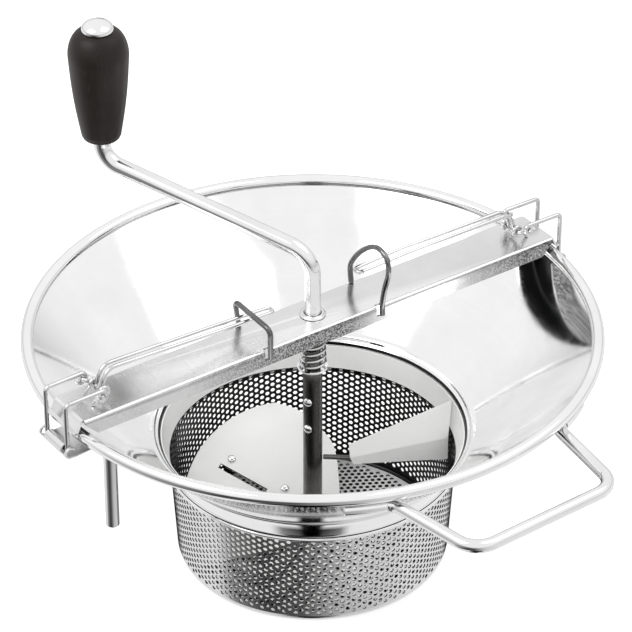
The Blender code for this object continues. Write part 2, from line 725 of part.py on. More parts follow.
def make_eye_wire(side, label):
    """One wire: a foot on the bar, an eye round the pivot, under the lever to the other side."""
    radius = LEVER_WIRE_R + 0.4 * MM + EYE_WIRE_R
    eye = loop(PIVOT_X, PIVOT_Z, radius, -EYE_Y, -15, 265, 10)
    foot = [Vector((EYE_FOOT_X, -EYE_Y, BAR_TOP_Z + GAP)),
            Vector((EYE_FOOT_X, -EYE_Y, BAR_TOP_Z + 1.5 * MM))]
    under = PIVOT_Z + radius * math.sin(math.radians(290))
    cross = [Vector((PIVOT_X + radius * math.cos(math.radians(285)), -EYE_Y + 1.6 * MM, under))]
    path = across(foot + eye + cross)
    wire("latch_eye_" + label, mirrored(path, side), EYE_WIRE_R, SATIN)


def lever_path(side, tip_x, tip_y, tip_z):
    """One half of the lever: crank pin, crank web, pivot and the long arm out to the tip."""
    def half(sign):
        web = sign * WEB_Y
        arm = sign * LEVER_Y
        return [
            (CRANK_PIN_X, sign * (BAIL_Y + 2.1 * MM), CRANK_PIN_Z),
            (CRANK_PIN_X, web, CRANK_PIN_Z),
            (PIVOT_X, web, PIVOT_Z),
            (PIVOT_X, arm, PIVOT_Z),
            (LEVER_KNEE[0], arm + tip_y * 0.1, LEVER_KNEE[1]),
            (LEVER_MID_X, sign * 3.3 * MM + tip_y * 0.7, LEVER_MID_Z + (tip_z - RIM_Z) * 0.8),
            (tip_x + 3 * MM, sign * 2.9 * MM + tip_y, tip_z),
        ]
    radii_in = (1.9 * MM, 1.9 * MM, 1.9 * MM, LEVER_KNEE_R, 60 * MM)
    first = half(1)
    second = half(-1)[::-1]
    nose = [(tip_x, 2.2 * MM + tip_y, tip_z), (tip_x, -2.2 * MM + tip_y, tip_z)]
    corners = first + nose + second
    radii = radii_in + (2 * MM, 1.6 * MM, 1.6 * MM, 2 * MM) + radii_in[::-1]
    return mirrored(rounded(corners, radii, step=45), side)


def make_bail(side, label):
    """A square wire loop: an eye on each crank pin, two arms, two legs and the bar in the catch."""
    radius = LEVER_WIRE_R + 0.4 * MM + BAIL_WIRE_R
    eye = loop(CRANK_PIN_X, CRANK_PIN_Z, radius, -BAIL_Y, 360, 90, 9)
    top = CRANK_PIN_Z + radius
    arm = [(CRANK_PIN_X, -BAIL_Y, top), (BAIL_X, -BAIL_Y, top - 0.6 * MM), (BAIL_X, -BAIL_Y, CATCH_Z),
           (BAIL_X, 0, CATCH_Z)]
    leg = rounded(arm, (3 * MM, 2.2 * MM), step=30)
    half = eye + leg[1:-1]
    wire("latch_bail_" + label, mirrored(across(half), side), BAIL_WIRE_R, POLISHED)


def make_catch(side, label):
    """Sheet bracket under the dish, rolled into a hook outside the rim, slotted for the bail's legs."""
    outer_r = CATCH_INNER_R + CATCH_SHEET
    centre = (BAIL_X, CATCH_Z)
    outside = arc(centre, outer_r, -100, 150, 10)
    inside = arc(centre, CATCH_INNER_R, 150, -100, 8)
    plate_low = CATCH_Z - outer_r
    lean = math.atan2(RIM_Z - THROAT_Z, RIM_R - THROAT_R)
    seat = CATCH_SEAT
    tail = (seat[0] - CATCH_TAIL * math.cos(lean), seat[1] - CATCH_TAIL * math.sin(lean))
    drop = (CATCH_SHEET * math.sin(lean), -CATCH_SHEET * math.cos(lean))
    low_side = [(tail[0] + drop[0], tail[1] + drop[1]), (seat[0] + drop[0], seat[1] + drop[1]),
                (BAIL_X - 4 * MM, plate_low - 0.2 * MM)]
    high_side = [(BAIL_X - 4 * MM, plate_low + CATCH_SHEET - 0.2 * MM), seat, tail]
    points = low_side + outside + inside + high_side
    made = upright_outline("catch_" + label, points, 2 * CATCH_HALF_WIDTH, side, SATIN)
    for sign in (1, -1):
        y = sign * BAIL_Y
        reach = 9 * MM
        slot = box_cutter("bail_slot_%s_%d" % (label, sign),
                          (side * BAIL_X - reach, y - BAIL_SLOT_HALF, CATCH_Z),
                          (side * BAIL_X + reach, y + BAIL_SLOT_HALF, RIM_Z))
        boolean(made, slot)
    return made


def make_latches():
    for side, label in ((1, "right"), (-1, "left")):
        make_eye_wire(side, label)
        make_bail(side, label)
        make_catch(side, label)
    wire("latch_lever_right", lever_path(1, LEVER_RIGHT_TIP, 0, RIM_Z + 31.5 * MM), LEVER_WIRE_R, POLISHED)
    left = lever_path(-1, LEVER_LEFT_TIP, LEVER_LEFT_ASIDE, RIM_Z + 22.8 * MM)
    wire("latch_lever_left", left, LEVER_WIRE_R, POLISHED)


# ---------------------------------------------------------------- handle and legs

def make_handle():
    """One rod: its ends follow the rim's underside, and it stands out as a U."""
    ends = []
    for i in range(5):
        angle = -math.pi / 2 - HANDLE_HALF_ANGLE + (HANDLE_HALF_ANGLE - HANDLE_ROOT_ANGLE) * i / 4
        ends.append(polar(HANDLE_SEAT_R, angle, HANDLE_Z))
    left = ends[:-1] + rounded(
        [ends[-2], ends[-1], (-HANDLE_OUT_X, HANDLE_OUT_Y, HANDLE_Z), (0, HANDLE_OUT_Y, HANDLE_Z)],
        (7 * MM, HANDLE_BEND), step=12)[1:-1]
    right = [Vector((-p[0], p[1], p[2])) for p in reversed(left)]
    turn = Matrix.Rotation(HANDLE_TURN, 3, "Z")
    path = [turn @ Vector(p) for p in left + right]
    wire("carrying_handle", path, HANDLE_R, POLISHED, resolution=3)


def make_leg(side, label):
    """A straight rod, its top cut to the slope of the dish."""
    lean = math.atan2(RIM_Z - THROAT_Z, RIM_R - THROAT_R)
    leg = wire_mesh("support_leg_" + label, [(side * LEG_X, 0, LEG_LOW_Z), (side * LEG_X, 0, RIM_Z)],
                    LEG_R, POLISHED, resolution=4)
    cutter = box_cutter("leg_cut_" + label, (-0.03, -0.02, 0), (0.03, 0.02, 0.04))
    cutter.rotation_euler = (0, -side * lean, 0)
    drop = (SHEET / 2 + GAP * 1.5) / math.cos(lean)
    dish_z = RIM_Z - (RIM_R - LEG_X) * math.tan(lean)
    cutter.location = (side * LEG_X, 0, dish_z - drop)
    boolean(leg, cutter)
    bevel = leg.modifiers.new("end", "BEVEL")
    bevel.width = 0.5 * MM
    bevel.segments = 1
    bevel.limit_method = "ANGLE"
    bevel.angle_limit = math.radians(60)


# ---------------------------------------------------------------- joints' axes

def make_pivot(name, place, *pieces):
    """An empty on a joint's axis, with the pieces that turn about it parented in place."""
    pivot = bpy.data.objects.new(name, None)
    PARTS.objects.link(pivot)
    pivot.location = place
    bpy.context.view_layer.update()
    for piece in pieces:
        held = bpy.data.objects[piece]
        held.parent = pivot
        held.matrix_parent_inverse = pivot.matrix_world.inverted()


def make_pivots():
    make_pivot("crank_axis", (0, 0, RIM_Z), "crank_rod", "grip_cap", "hub_sleeve", "hub_pin_1",
               "hub_pin_2", "blade", "blade_brace", "blade_rivet_1", "blade_rivet_2", "wing", "wing_arm")
    make_pivot("lift_axis", (0, 0, SPRING_LOW_Z), "thrust_spring", "spring_washer")
    make_pivot("grip_axis", polar(CRANK_REACH, CRANK_ANGLE, GRIP_Z), "grip")
    make_pivot("hoop_left_axis", (HOOP_LEFT_X, HOOP_NEAR_Y, BAR_TOP_Z), "hoop_left")
    make_pivot("hoop_right_axis", (HOOP_RIGHT_X, HOOP_NEAR_Y, BAR_TOP_Z), "hoop_right")
    for side, label in ((1, "right"), (-1, "left")):
        make_pivot("lever_%s_axis" % label, (side * PIVOT_X, 0, PIVOT_Z), "latch_lever_" + label)
        make_pivot("bail_%s_axis" % label, (side * CRANK_PIN_X, 0, CRANK_PIN_Z), "latch_bail_" + label)


make_bowl()
make_drum()
make_bar()
make_shaft_ring()
make_crank()
make_grip()
make_spring()
make_sleeve()
make_blade()
make_wing()
make_hoops()
make_latches()
make_handle()
make_leg(1, "right")
make_leg(-1, "left")
make_pivots()
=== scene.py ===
"""Rotary food mill: the visual model of the dish, perforated drum, bridge bar, latches and crank.

Metres, +Z up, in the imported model's frame: the origin is the centre of the drum's flat floor,
X runs along the bridge bar and the carrying handle points to -Y.
"""

import math

import bmesh
import bpy
from mathutils import Matrix, Vector


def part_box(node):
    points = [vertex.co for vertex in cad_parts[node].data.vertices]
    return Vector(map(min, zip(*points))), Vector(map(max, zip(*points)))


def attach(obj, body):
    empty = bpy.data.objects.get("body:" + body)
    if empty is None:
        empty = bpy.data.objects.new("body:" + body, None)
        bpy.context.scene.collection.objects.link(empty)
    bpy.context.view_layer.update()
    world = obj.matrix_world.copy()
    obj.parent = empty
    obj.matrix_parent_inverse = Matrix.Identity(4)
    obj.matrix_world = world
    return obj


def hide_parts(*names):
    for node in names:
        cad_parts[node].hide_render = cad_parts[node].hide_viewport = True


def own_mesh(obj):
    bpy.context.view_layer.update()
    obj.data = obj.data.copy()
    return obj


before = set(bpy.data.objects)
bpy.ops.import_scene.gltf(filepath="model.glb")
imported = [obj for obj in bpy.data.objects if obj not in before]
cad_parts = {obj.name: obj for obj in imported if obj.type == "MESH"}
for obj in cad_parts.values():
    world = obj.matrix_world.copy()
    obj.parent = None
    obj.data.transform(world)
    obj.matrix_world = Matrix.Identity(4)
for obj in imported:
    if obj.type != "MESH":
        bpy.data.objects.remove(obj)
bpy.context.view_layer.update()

MM = 0.001
GAP = 0.3 * MM                      # clearance between pieces that touch
SAME_POINT = 0.05 * MM              # points of a path closer than this are one

# Levels and sizes read from the frame
BEAD_R = 4 * MM                     # radius of the rolled rim
RIM_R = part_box("bowl")[1].x - BEAD_R
RIM_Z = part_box("bowl")[1].z - BEAD_R
NECK_LOW_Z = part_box("bowl")[0].z
BAR_TOP_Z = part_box("bridge_bar")[1].z
BAR_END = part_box("bridge_bar")[1].x
BAR_HALF_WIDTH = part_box("bridge_bar")[1].y
BAR_FLANGE_Z = RIM_Z + 0.3 * MM
GRIP_LOW, GRIP_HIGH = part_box("grip")
GRIP_CENTRE = (GRIP_LOW + GRIP_HIGH) / 2
GRIP_MAX_R = (GRIP_HIGH.x - GRIP_LOW.x) / 2
SPRING_LOW_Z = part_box("thrust_spring")[0].z
SPRING_TOP_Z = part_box("thrust_spring")[1].z

# Bowl
SHEET = 1.2 * MM
THROAT_R = 102.5 * MM
THROAT_Z = RIM_Z - 76.6 * MM
NECK_TOP_R = 98.9 * MM
NECK_LOW_R = 93.8 * MM
LEAN = math.atan2(RIM_Z - THROAT_Z, RIM_R - THROAT_R)

# Sieve drum
DRUM_TOP_R = 98.6 * MM
DRUM_BAND_R = 93.4 * MM
DRUM_BAND_Z = RIM_Z - 94.5 * MM
DRUM_SMOOTH_Z = DRUM_BAND_Z + 0.9 * MM
DRUM_LOW_R = 89.4 * MM
DRUM_CORNER = 4 * MM
DRUM_SHEET = 1.2 * MM
WALL_SHEET = 0.75 * MM
HOLE_R = 1.52 * MM
HOLE_ROW = 4.35 * MM                # from hole to hole up a column
HOLE_COLUMNS = 150
HOLE_ROWS = 15

# Bridge bar
BAR_SHEET = 1.5 * MM
BAR_BEND = 2.2 * MM
BAR_FLANGE_END = 170.5 * MM
BAR_SLOPE_START = 180 * MM
BAR_SLOPE_END = 184.2 * MM
TONGUE_Z = RIM_Z + BEAD_R - 1.4 * MM   # underside of the bar's ends, just outside the rim's top

# Shaft and crank
SHAFT_R = 5.25 * MM
BORE_R = SHAFT_R + 0.35 * MM        # of what turns or slides on it
SHAFT_BOTTOM_Z = 9 * MM
CRANK_ANGLE = math.radians(120)
CRANK_REACH = math.hypot(GRIP_CENTRE.x, GRIP_CENTRE.y)
CRANK_LOW_Z = RIM_Z + 56 * MM
CRANK_HIGH_Z = RIM_Z + 89 * MM
CRANK_BEND = 19 * MM
GRIP_LOW_R = 12.2 * MM
CAP_R = 10.2 * MM
CAP_HEIGHT = 6.5 * MM
SPRING_LOW_R = 8.4 * MM
SPRING_TOP_R = 6.8 * MM
SPRING_WIRE_R = 1 * MM
SPRING_TURNS = 8

# Hub
SLEEVE_R = 6.3 * MM
SLEEVE_LOW_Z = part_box("hub_sleeve")[0].z
PIN_R = 1.8 * MM
PIN_HEAD_R = 3 * MM
PIN_HEAD_RISE = 1.4 * MM
PIN_ANGLE = math.radians(-154)
PIN_HEIGHTS = (RIM_Z - 53 * MM, RIM_Z - 74 * MM)

# Rotor blade and wing
BLADE_R = 86 * MM
BLADE_THICK = 1.5 * MM
BLADE_TILT = math.radians(26.8)
BLADE_UP_ANGLE = math.radians(77.5)
BLADE_AXIS_Z = 6.2 * MM
BLADE_FRONT = 7 * MM
BLADE_TRIM_ANGLE = math.radians(84.7)
BLADE_TRIM = ((22, 76.5), (33, 58), (35, 45.5), (30, 27), (24, 12))
BLADE_FRONT_X = 12 * MM
BRACE_CENTRE = (-12 * MM, 46.2 * MM)
BRACE_ANGLE = math.radians(116.5)
BRACE_THICK = 1.5 * MM
BRACE_END_R = 6 * MM
BRACE_END_X = 21.3 * MM
SLOT_PLACE = (7 * MM, 8.7 * MM)   # middle of the blade's slot, on the brace's axes
SLOT_HALF_LENGTH = 17.8 * MM
SLOT_HALF_WIDTH = 1.9 * MM
RIVET_PLACES = (-20.3 * MM, 20.3 * MM)
RIVET_R = 1.5 * MM
RIVET_HEAD_R = 2.9 * MM
RIVET_HEAD_RISE = 1.5 * MM
WING_PLACE = (16.8 * MM, -18.3 * MM)
WING_ANGLE = math.radians(-16.1)
WING_Z = RIM_Z - 97 * MM
WING_THICK = 1.5 * MM
WING_LENGTH = 68.1 * MM
WING_RISE = 20.5 * MM
WING_LEAN = 0.6
WING_INNER_RISE = 7.3 * MM
WING_OVERHANG = 6.6 * MM
WING_DROP = 17 * MM
WING_INNER_DROP = 5.4 * MM
WING_ARM_R = 1.7 * MM
WING_ARM_DROP = 2.8 * MM

# Wires
HOOP_WIRE_R = 1.8 * MM
LEVER_WIRE_R = 1.4 * MM
LOOP_INNER_R = LEVER_WIRE_R + 0.4 * MM
EYE_WIRE_R = 1.3 * MM
BAIL_WIRE_R = 1.5 * MM
HANDLE_R = 4 * MM
LEG_R = 4.3 * MM
HOOP_LEFT_X = -45 * MM
HOOP_RIGHT_X = 41 * MM
HOOP_NEAR_Y = -18.6 * MM
HOOP_FAR_Y = 15.5 * MM
HOOP_FOOT_Z = BAR_TOP_Z - 6.5 * MM
NOTCH_HALF = 2.4 * MM
PIVOT_X = 159 * MM
PIVOT_Z = RIM_Z + 18.8 * MM
CRANK_PIN_X = PIVOT_X + 5.5 * MM
CRANK_PIN_Z = PIVOT_Z + 2.5 * MM
EYE_FOOT_X = 167 * MM
LEVER_Y = 2.6 * MM
EYE_Y = 5.6 * MM
WEB_Y = 8.6 * MM
BAIL_Y = 11.7 * MM
LEVER_RIGHT_TIP = 34 * MM
LEVER_LEFT_TIP = 28 * MM
LEVER_LEFT_ASIDE = 5.4 * MM         # its tip stands this far off the bar's middle
LEVER_RIGHT_Z = RIM_Z + 31.5 * MM
LEVER_LEFT_Z = RIM_Z + 22.8 * MM
LEVER_KNEE = (155 * MM, RIM_Z + 32 * MM)
LEVER_KNEE_R = 9 * MM
LEVER_MID_X = 70 * MM
LEVER_MID_Z = RIM_Z + 7.5 * MM
BAIL_X = 190 * MM
CATCH_Z = RIM_Z - 9 * MM
CATCH_HALF_WIDTH = 15.5 * MM
CATCH_INNER_R = 2.75 * MM
CATCH_SHEET = 1.1 * MM
CATCH_SEAT = (171 * MM, RIM_Z - 11.1 * MM)
CATCH_TAIL = 14 * MM                # the part that lies under the dish

# Handle and legs
HANDLE_Z = RIM_Z - 9.7 * MM
HANDLE_SEAT_R = 178 * MM
HANDLE_HALF_ANGLE = math.radians(31)
HANDLE_ROOT_ANGLE = math.radians(21)
HANDLE_OUT_Y = -231 * MM
HANDLE_OUT_X = 54 * MM
HANDLE_BEND = 16 * MM
HANDLE_TURN = math.radians(1.8)      # it stands a little askew, towards +X
LEG_X = 153.2 * MM
LEG_LOW_Z = RIM_Z - 88.4 * MM


# ---------- materials

class Tree:
    """The node tree of a material or a world, with short calls for the nodes used here."""

    def __init__(self, owner, coordinates):
        owner.use_nodes = True
        self.tree = owner.node_tree
        self.place = self.add("TexCoord").outputs[coordinates]

    def add(self, kind, inputs=None, **settings):
        """A new node with its settings, and its inputs fed with values or from other nodes."""
        node = self.tree.nodes.new("ShaderNode" + kind)
        for name, value in settings.items():
            setattr(node, name, value)
        self.feed(node, inputs or {})
        return node

    def feed(self, node, inputs):
        for name, value in inputs.items():
            if isinstance(value, bpy.types.NodeSocket):
                self.tree.links.new(value, node.inputs[name])
            else:
                node.inputs[name].default_value = (*value, 1) if isinstance(value, tuple) else value

    def plus(self, *values):
        total = values[0]
        for value in values[1:]:
            total = self.add("Math", {0: total, 1: value}, operation="ADD").outputs[0]
        return total

    def times(self, first, second):
        return self.add("Math", {0: first, 1: second}, operation="MULTIPLY").outputs[0]

    def span(self, value, low, high, from_low=0.3, from_high=0.7):
        inputs = {"From Min": from_low, "From Max": from_high, "To Min": low, "To Max": high}
        return self.add("MapRange", {"Value": value, **inputs}).outputs["Result"]

    def mix(self, share, first, second):
        inputs = {"Factor": share, "A": first, "B": second}
        return self.add("Mix", inputs, data_type="RGBA").outputs["Result"]

    def ramp(self, value, stops):
        """Greys along a value, given as (position, level) stops."""
        node = self.add("ValToRGB", {"Fac": value})
        elements = node.color_ramp.elements
        while len(elements) < len(stops):
            elements.new(0.5)
        for element, (position, level) in zip(elements, stops):
            element.position = position
            element.color = (level, level, level, 1)
        return node.outputs["Color"]

    def parts(self):
        return self.add("SeparateXYZ", {0: self.place}).outputs

    def length(self, vector):
        return self.add("VectorMath", {0: vector}, operation="LENGTH").outputs["Value"]

    def along(self, direction):
        """How far the place lies along a direction."""
        inputs = {0: self.place, 1: direction}
        return self.add("VectorMath", inputs, operation="DOT_PRODUCT").outputs["Value"]


class Finish(Tree):
    """A material's tree, with its shader and the patterns used on it."""

    def __init__(self, name):
        self.material = bpy.data.materials.new(name)
        super().__init__(self.material, "Object")
        self.shader = self.tree.nodes["Principled BSDF"]

    def scaled(self, x, y, z, turn=0.0):
        inputs = {"Vector": self.place, "Scale": Vector((x, y, z)),
                  "Rotation": Vector((turn, turn * 0.7, turn * 1.3))}
        return self.add("Mapping", inputs).outputs["Vector"]

    def noise(self, vector, scale, detail=3.0, roughness=0.5):
        inputs = {"Vector": vector, "Scale": scale, "Detail": detail, "Roughness": roughness}
        return self.add("TexNoise", inputs).outputs["Fac"]

    def lathe_grain(self):
        """Distance from the mill's axis, with a little of x and y, for lathe-turned grain."""
        parts = self.parts()
        flat = self.add("CombineXYZ", {"X": parts["X"], "Y": parts["Y"]}).outputs[0]
        rings = {"X": self.times(self.length(flat), 1500.0), "Y": self.times(parts["X"], 9.0),
                 "Z": self.times(parts["Y"], 9.0)}
        return self.add("CombineXYZ", rings).outputs[0]

    def bump(self, height, distance, strength):
        node = self.add("Bump", {"Distance": distance, "Strength": strength, "Height": height})
        return node.outputs["Normal"]


def steel(name, bright, dull, roughness, grain, bump=0.12, scratches=0.5, metallic=1.0, painted_shade=None):
    """Stainless steel: directional polishing lines, cloudy roughness, fine scratches, worn edges, and
    painted shade where a mask is given.
    """
    made = Finish(name)
    lines = made.noise(made.lathe_grain() if grain == TURNED else made.scaled(*grain), 1.0, 2.0)
    clouds = made.noise(made.scaled(1, 1, 1), 26.0, 4.0, 0.55)
    smudge = made.noise(made.scaled(1, 1, 1, 0.6), 75.0, 3.0, 0.6)
    streaks = made.noise(made.scaled(900, 24, 700, 0.9), 1.0, 1.0)
    scratch = made.span(streaks, 0.0, 1.0, 0.66, 0.78)
    worn = made.span(made.add("NewGeometry").outputs["Pointiness"], 0.0, 1.0, 0.53, 0.6)
    tone = made.mix(made.span(clouds, 0.0, 1.0), dull, bright)
    tone = made.mix(made.span(lines, 0.0, 0.35), tone, dull)
    edge = tuple(min(1.6 * level, 0.95) for level in bright)
    tone = made.mix(made.times(worn, 0.6), tone, edge)
    # painted shade: the tone goes towards near black where the mask is high
    if painted_shade:
        tone = made.mix(painted_shade(made), tone, (0.015, 0.014, 0.013))
    rough = made.plus(made.span(clouds, roughness * 0.75, roughness * 1.25),
                      made.span(smudge, 0.0, 0.035, 0.5, 0.75), made.times(lines, 0.05),
                      made.times(scratch, 0.12 * scratches))
    height = made.plus(lines, made.times(scratch, -0.8 * scratches), made.times(clouds, 0.6))
    made.feed(made.shader, {"Base Color": tone, "Metallic": metallic, "Roughness": rough,
                            "Normal": made.bump(height, 0.02 * MM, bump)})
    return made.material


def flange_painted_shade(made):
    """Painted shade in dark specks on the bar's flanges, thickest near the crank and near the +X end."""
    x = made.parts()["X"]
    middle = made.times(made.span(x, 0.0, 1.0, -110 * MM, -35 * MM),
                        made.span(x, 1.0, 0.0, 14 * MM, 36 * MM))
    heavy = made.plus(middle, made.span(x, 0.0, 1.0, 100 * MM, 155 * MM))
    specks = made.span(made.noise(made.scaled(1, 1, 1), 900.0, 3.0, 0.7), 0.25, 1.0, 0.42, 0.58)
    return made.times(made.times(heavy, specks), 0.92)


def moulded_plastic(name):
    """Near-black phenolic: faint brown mottle, fine moulded grain, rubbed shine."""
    made = Finish(name)
    mottle = made.noise(made.scaled(1, 1, 1), 60.0, 4.0, 0.6)
    grain = made.noise(made.scaled(1, 1, 1), 1800.0, 2.0)
    rubbed = made.noise(made.scaled(1, 1, 0.4, 0.3), 32.0, 3.0, 0.6)
    scratch = made.span(made.noise(made.scaled(1200, 1200, 30, 0.5), 1.0, 1.0), 0.0, 1.0, 0.68, 0.8)
    tone = made.mix(made.span(mottle, 0.0, 1.0), (0.010, 0.0075, 0.006), (0.017, 0.012, 0.010))
    tone = made.mix(made.times(scratch, 0.25), tone, (0.09, 0.08, 0.07))
    rough = made.plus(made.span(rubbed, 0.34, 0.50), made.times(scratch, 0.15))
    height = made.plus(grain, made.times(rubbed, 1.5))
    made.feed(made.shader, {"Base Color": tone, "Roughness": rough, "IOR": 1.54, "Specular IOR Level": 0.22,
                            "Normal": made.bump(height, 0.03 * MM, 0.25)})
    return made.material


def pale_floor():
    """A white floor that glows by its own emission and stays pale up to the mill, with a painted shadow
    under the drum: dark there, and not glowing.
    """
    made = Finish("studio_floor")
    reach = made.length(made.place)
    dark_to = DRUM_LOW_R - 9 * MM
    pale_from = DRUM_LOW_R - 1 * MM
    # painted shadow: colour and glow both fall to near nothing under the drum
    tone = made.mix(made.span(reach, 0.0, 1.0, dark_to, pale_from), grey(0.01), grey(0.62))
    made.feed(made.shader, {"Base Color": tone, "Roughness": 0.9, "Specular IOR Level": 0.0,
                            "Emission Color": grey(1.0),
                            "Emission Strength": made.span(reach, 0.0, 0.62, dark_to, pale_from)})
    return made.material


def grey(level):
    return (level, level, level)


# Grain: how fine it is along X, Y and Z, per metre
TURNED = "turned"                   # in rings about the mill's axis
ALONG_BAR = (14, 1600, 1600)
ROLLED = (30, 30, 900)
ALONG_BLADE = (40, 900, 900)
ALONG_WIRE = (1500, 60, 1500)

DISH_STEEL = steel("dish_steel", grey(0.92), grey(0.85), 0.05, TURNED, 0.06)
# Painted shade: near-black steel for the groove at the drum's rim and the pressed lines round the neck
GROOVE_SHADE_STEEL = steel("groove_shade_steel", grey(0.02), grey(0.01), 0.30, TURNED)
BAR_STEEL = steel("bar_steel", grey(0.80), grey(0.68), 0.22, ALONG_BAR, 0.2)
# Painted shade: the flanges get a darker copy of the bar's steel, with painted shade in specks
FLANGE_SHADE_STEEL = steel("flange_shade_steel", grey(0.56), grey(0.36), 0.22, ALONG_BAR, 0.35, 1.0, painted_shade=flange_painted_shade)
# Painted shade: a near-black copy of the steel for the inside of the bar's channel
BAR_CHANNEL_SHADE = steel("bar_channel_shade", grey(0.06), grey(0.03), 0.30, ALONG_BAR)
SIEVE_STEEL = steel("sieve_steel", grey(0.80), grey(0.66), 0.12, ROLLED, 0.1)
# Painted light: a near-white, barely metallic copy of the steel, so that these faces show lit
PAINTED_LIGHT_STEEL = steel("satin_steel", (0.95, 0.95, 0.94), (0.86, 0.86, 0.85), 0.40, ROLLED, 0.1, 0.5, 0.1)
# Painted shade: a near-black copy of the sieve steel for the inside of the drum's wall and the holes' edges
SIEVE_SHADE = steel("sieve_shade", grey(0.035), grey(0.015), 0.25, ROLLED, 0.1)
BLADE_STEEL = steel("blade_steel", (0.86, 0.86, 0.85), (0.80, 0.80, 0.79), 0.42, ALONG_BLADE, 0.1, 0.6, 0.35)
# Painted shade: a dark copy of the blade's steel for its underside and edges
BLADE_UNDER_SHADE = steel("blade_under_shade", grey(0.10), grey(0.05), 0.35, ALONG_BLADE, 0.1)
ROD_STEEL = steel("rod_steel", grey(0.90), grey(0.80), 0.08, (60, 60, 1400), 0.1)
WIRE_STEEL = steel("wire_steel", grey(0.76), grey(0.56), 0.08, ALONG_WIRE, 0.1)
# Painted shade: a darker copy of the wire steel for the two keeper hoops
HOOP_SHADE_STEEL = steel("hoop_shade_steel", grey(0.24), grey(0.12), 0.10, ALONG_WIRE, 0.1)
# Painted shade: a darker copy of the rod steel for the legs under the dish
LEG_SHADE_STEEL = steel("leg_shade_steel", grey(0.60), grey(0.44), 0.14, (1500, 1500, 60), 0.15)
# Painted shade: a near-black copy of the steel for the hub, the shaft below the bar and the wing's arm, down
# in the drum
DEEP_SHADE_STEEL = steel("deep_shade_steel", (0.20, 0.195, 0.19), (0.05, 0.048, 0.045), 0.10, (1200, 1200, 40), 0.15, 1.0)
GRIP_PLASTIC = moulded_plastic("grip_plastic")


# ---------- geometry helpers

def polar(radius, angle, z=0.0):
    return Vector((radius * math.cos(angle), radius * math.sin(angle), z))


def arc(centre, radius, start, end, count):
    """Points (a, b) on an arc; the angles are in degrees."""
    angles = [math.radians(start + (end - start) * i / count) for i in range(count + 1)]
    return [(centre[0] + radius * math.cos(a), centre[1] + radius * math.sin(a)) for a in angles]


def domed(radius, base, height, angles):
    """The outline (radius, z) of a dome from its top outwards; the angles are in degrees."""
    turns = [math.radians(a) for a in angles]
    return [(radius * math.sin(a), base + height * math.cos(a)) for a in turns]


def rounded(corners, radii, step=6):
    """A path through the corners, each rounded to its radius by an arc."""
    corners = [Vector(c) for c in corners]
    path = [corners[0]]
    for before, corner, after, radius in zip(corners, corners[1:], corners[2:], radii):
        towards = (before - corner).normalized()
        onwards = (after - corner).normalized()
        turn = math.pi - towards.angle(onwards)
        if turn < math.radians(1):
            path.append(corner)
            continue
        reach = radius * math.tan(turn / 2)
        centre = corner + (towards + onwards).normalized() * (radius / math.cos(turn / 2))
        arm = corner + towards * reach - centre
        axis = arm.cross(corner + onwards * reach - centre).normalized()
        count = max(3, round(math.degrees(turn) / step))
        path += [centre + Matrix.Rotation(turn * i / count, 3, axis) @ arm for i in range(count + 1)]
    return path + [corners[-1]]


def smooth(points, per_span):
    """A Catmull-Rom curve through the points."""
    points = [Vector(p) for p in points]
    ends = [2 * points[0] - points[1]] + points + [2 * points[-1] - points[-2]]
    path = []
    for a, b, c, d in zip(ends, ends[1:], ends[2:], ends[3:]):
        for i in range(per_span):
            t = i / per_span
            path.append(0.5 * (2 * b + (c - a) * t + (2 * a - 5 * b + 4 * c - d) * t ** 2
                               + (3 * b - a - 3 * c + d) * t ** 3))
    return path + [points[-1]]


def link(made):
    bpy.context.scene.collection.objects.link(made)
    return made


def solid(name, verts, faces, material, sharp=38):
    """A mesh object with outward normals, smooth except at sharp edges."""
    mesh = bpy.data.meshes.new(name)
    mesh.from_pydata([tuple(v) for v in verts], [], faces)
    made = link(bpy.data.objects.new(name, mesh))
    tidy_normals(mesh, sharp)
    if material:
        mesh.materials.append(material)
    return made


def tidy_normals(mesh, sharp=38):
    work = bmesh.new()
    work.from_mesh(mesh)
    bmesh.ops.remove_doubles(work, verts=work.verts, dist=0.000001)
    bmesh.ops.recalc_face_normals(work, faces=work.faces)
    work.to_mesh(mesh)
    work.free()
    mesh.shade_smooth()
    mesh.set_sharp_from_angle(angle=math.radians(sharp))


def turned(name, profile, material, steps=96, centre=(0, 0), sharp=38):
    """A closed outline of (radius, z) points turned about a vertical line."""
    verts = []
    rings = []
    for radius, z in profile:
        if radius < 1e-7:
            rings.append([len(verts)] * steps)
            verts.append((centre[0], centre[1], z))
            continue
        rings.append(list(range(len(verts), len(verts) + steps)))
        for k in range(steps):
            angle = 2 * math.pi * k / steps
            verts.append((centre[0] + radius * math.cos(angle), centre[1] + radius * math.sin(angle), z))
    faces = []
    for one, two in zip(rings, rings[1:] + rings[:1]):
        if one[0] == one[1] and two[0] == two[1]:
            continue
        for k in range(steps):
            after = (k + 1) % steps
            corners = [one[k], one[after], two[after], two[k]]
            faces.append([c for i, c in enumerate(corners) if c not in corners[:i]])
    return solid(name, verts, faces, material, sharp)


def joined(rings, sides):
    """Faces that join each ring of points to the next, and close both ends."""
    faces = []
    for i in range(rings - 1):
        for k in range(sides):
            after = (k + 1) % sides
            faces.append([i * sides + k, i * sides + after, (i + 1) * sides + after, (i + 1) * sides + k])
    return faces + [list(range(sides))[::-1], list(range((rings - 1) * sides, rings * sides))]


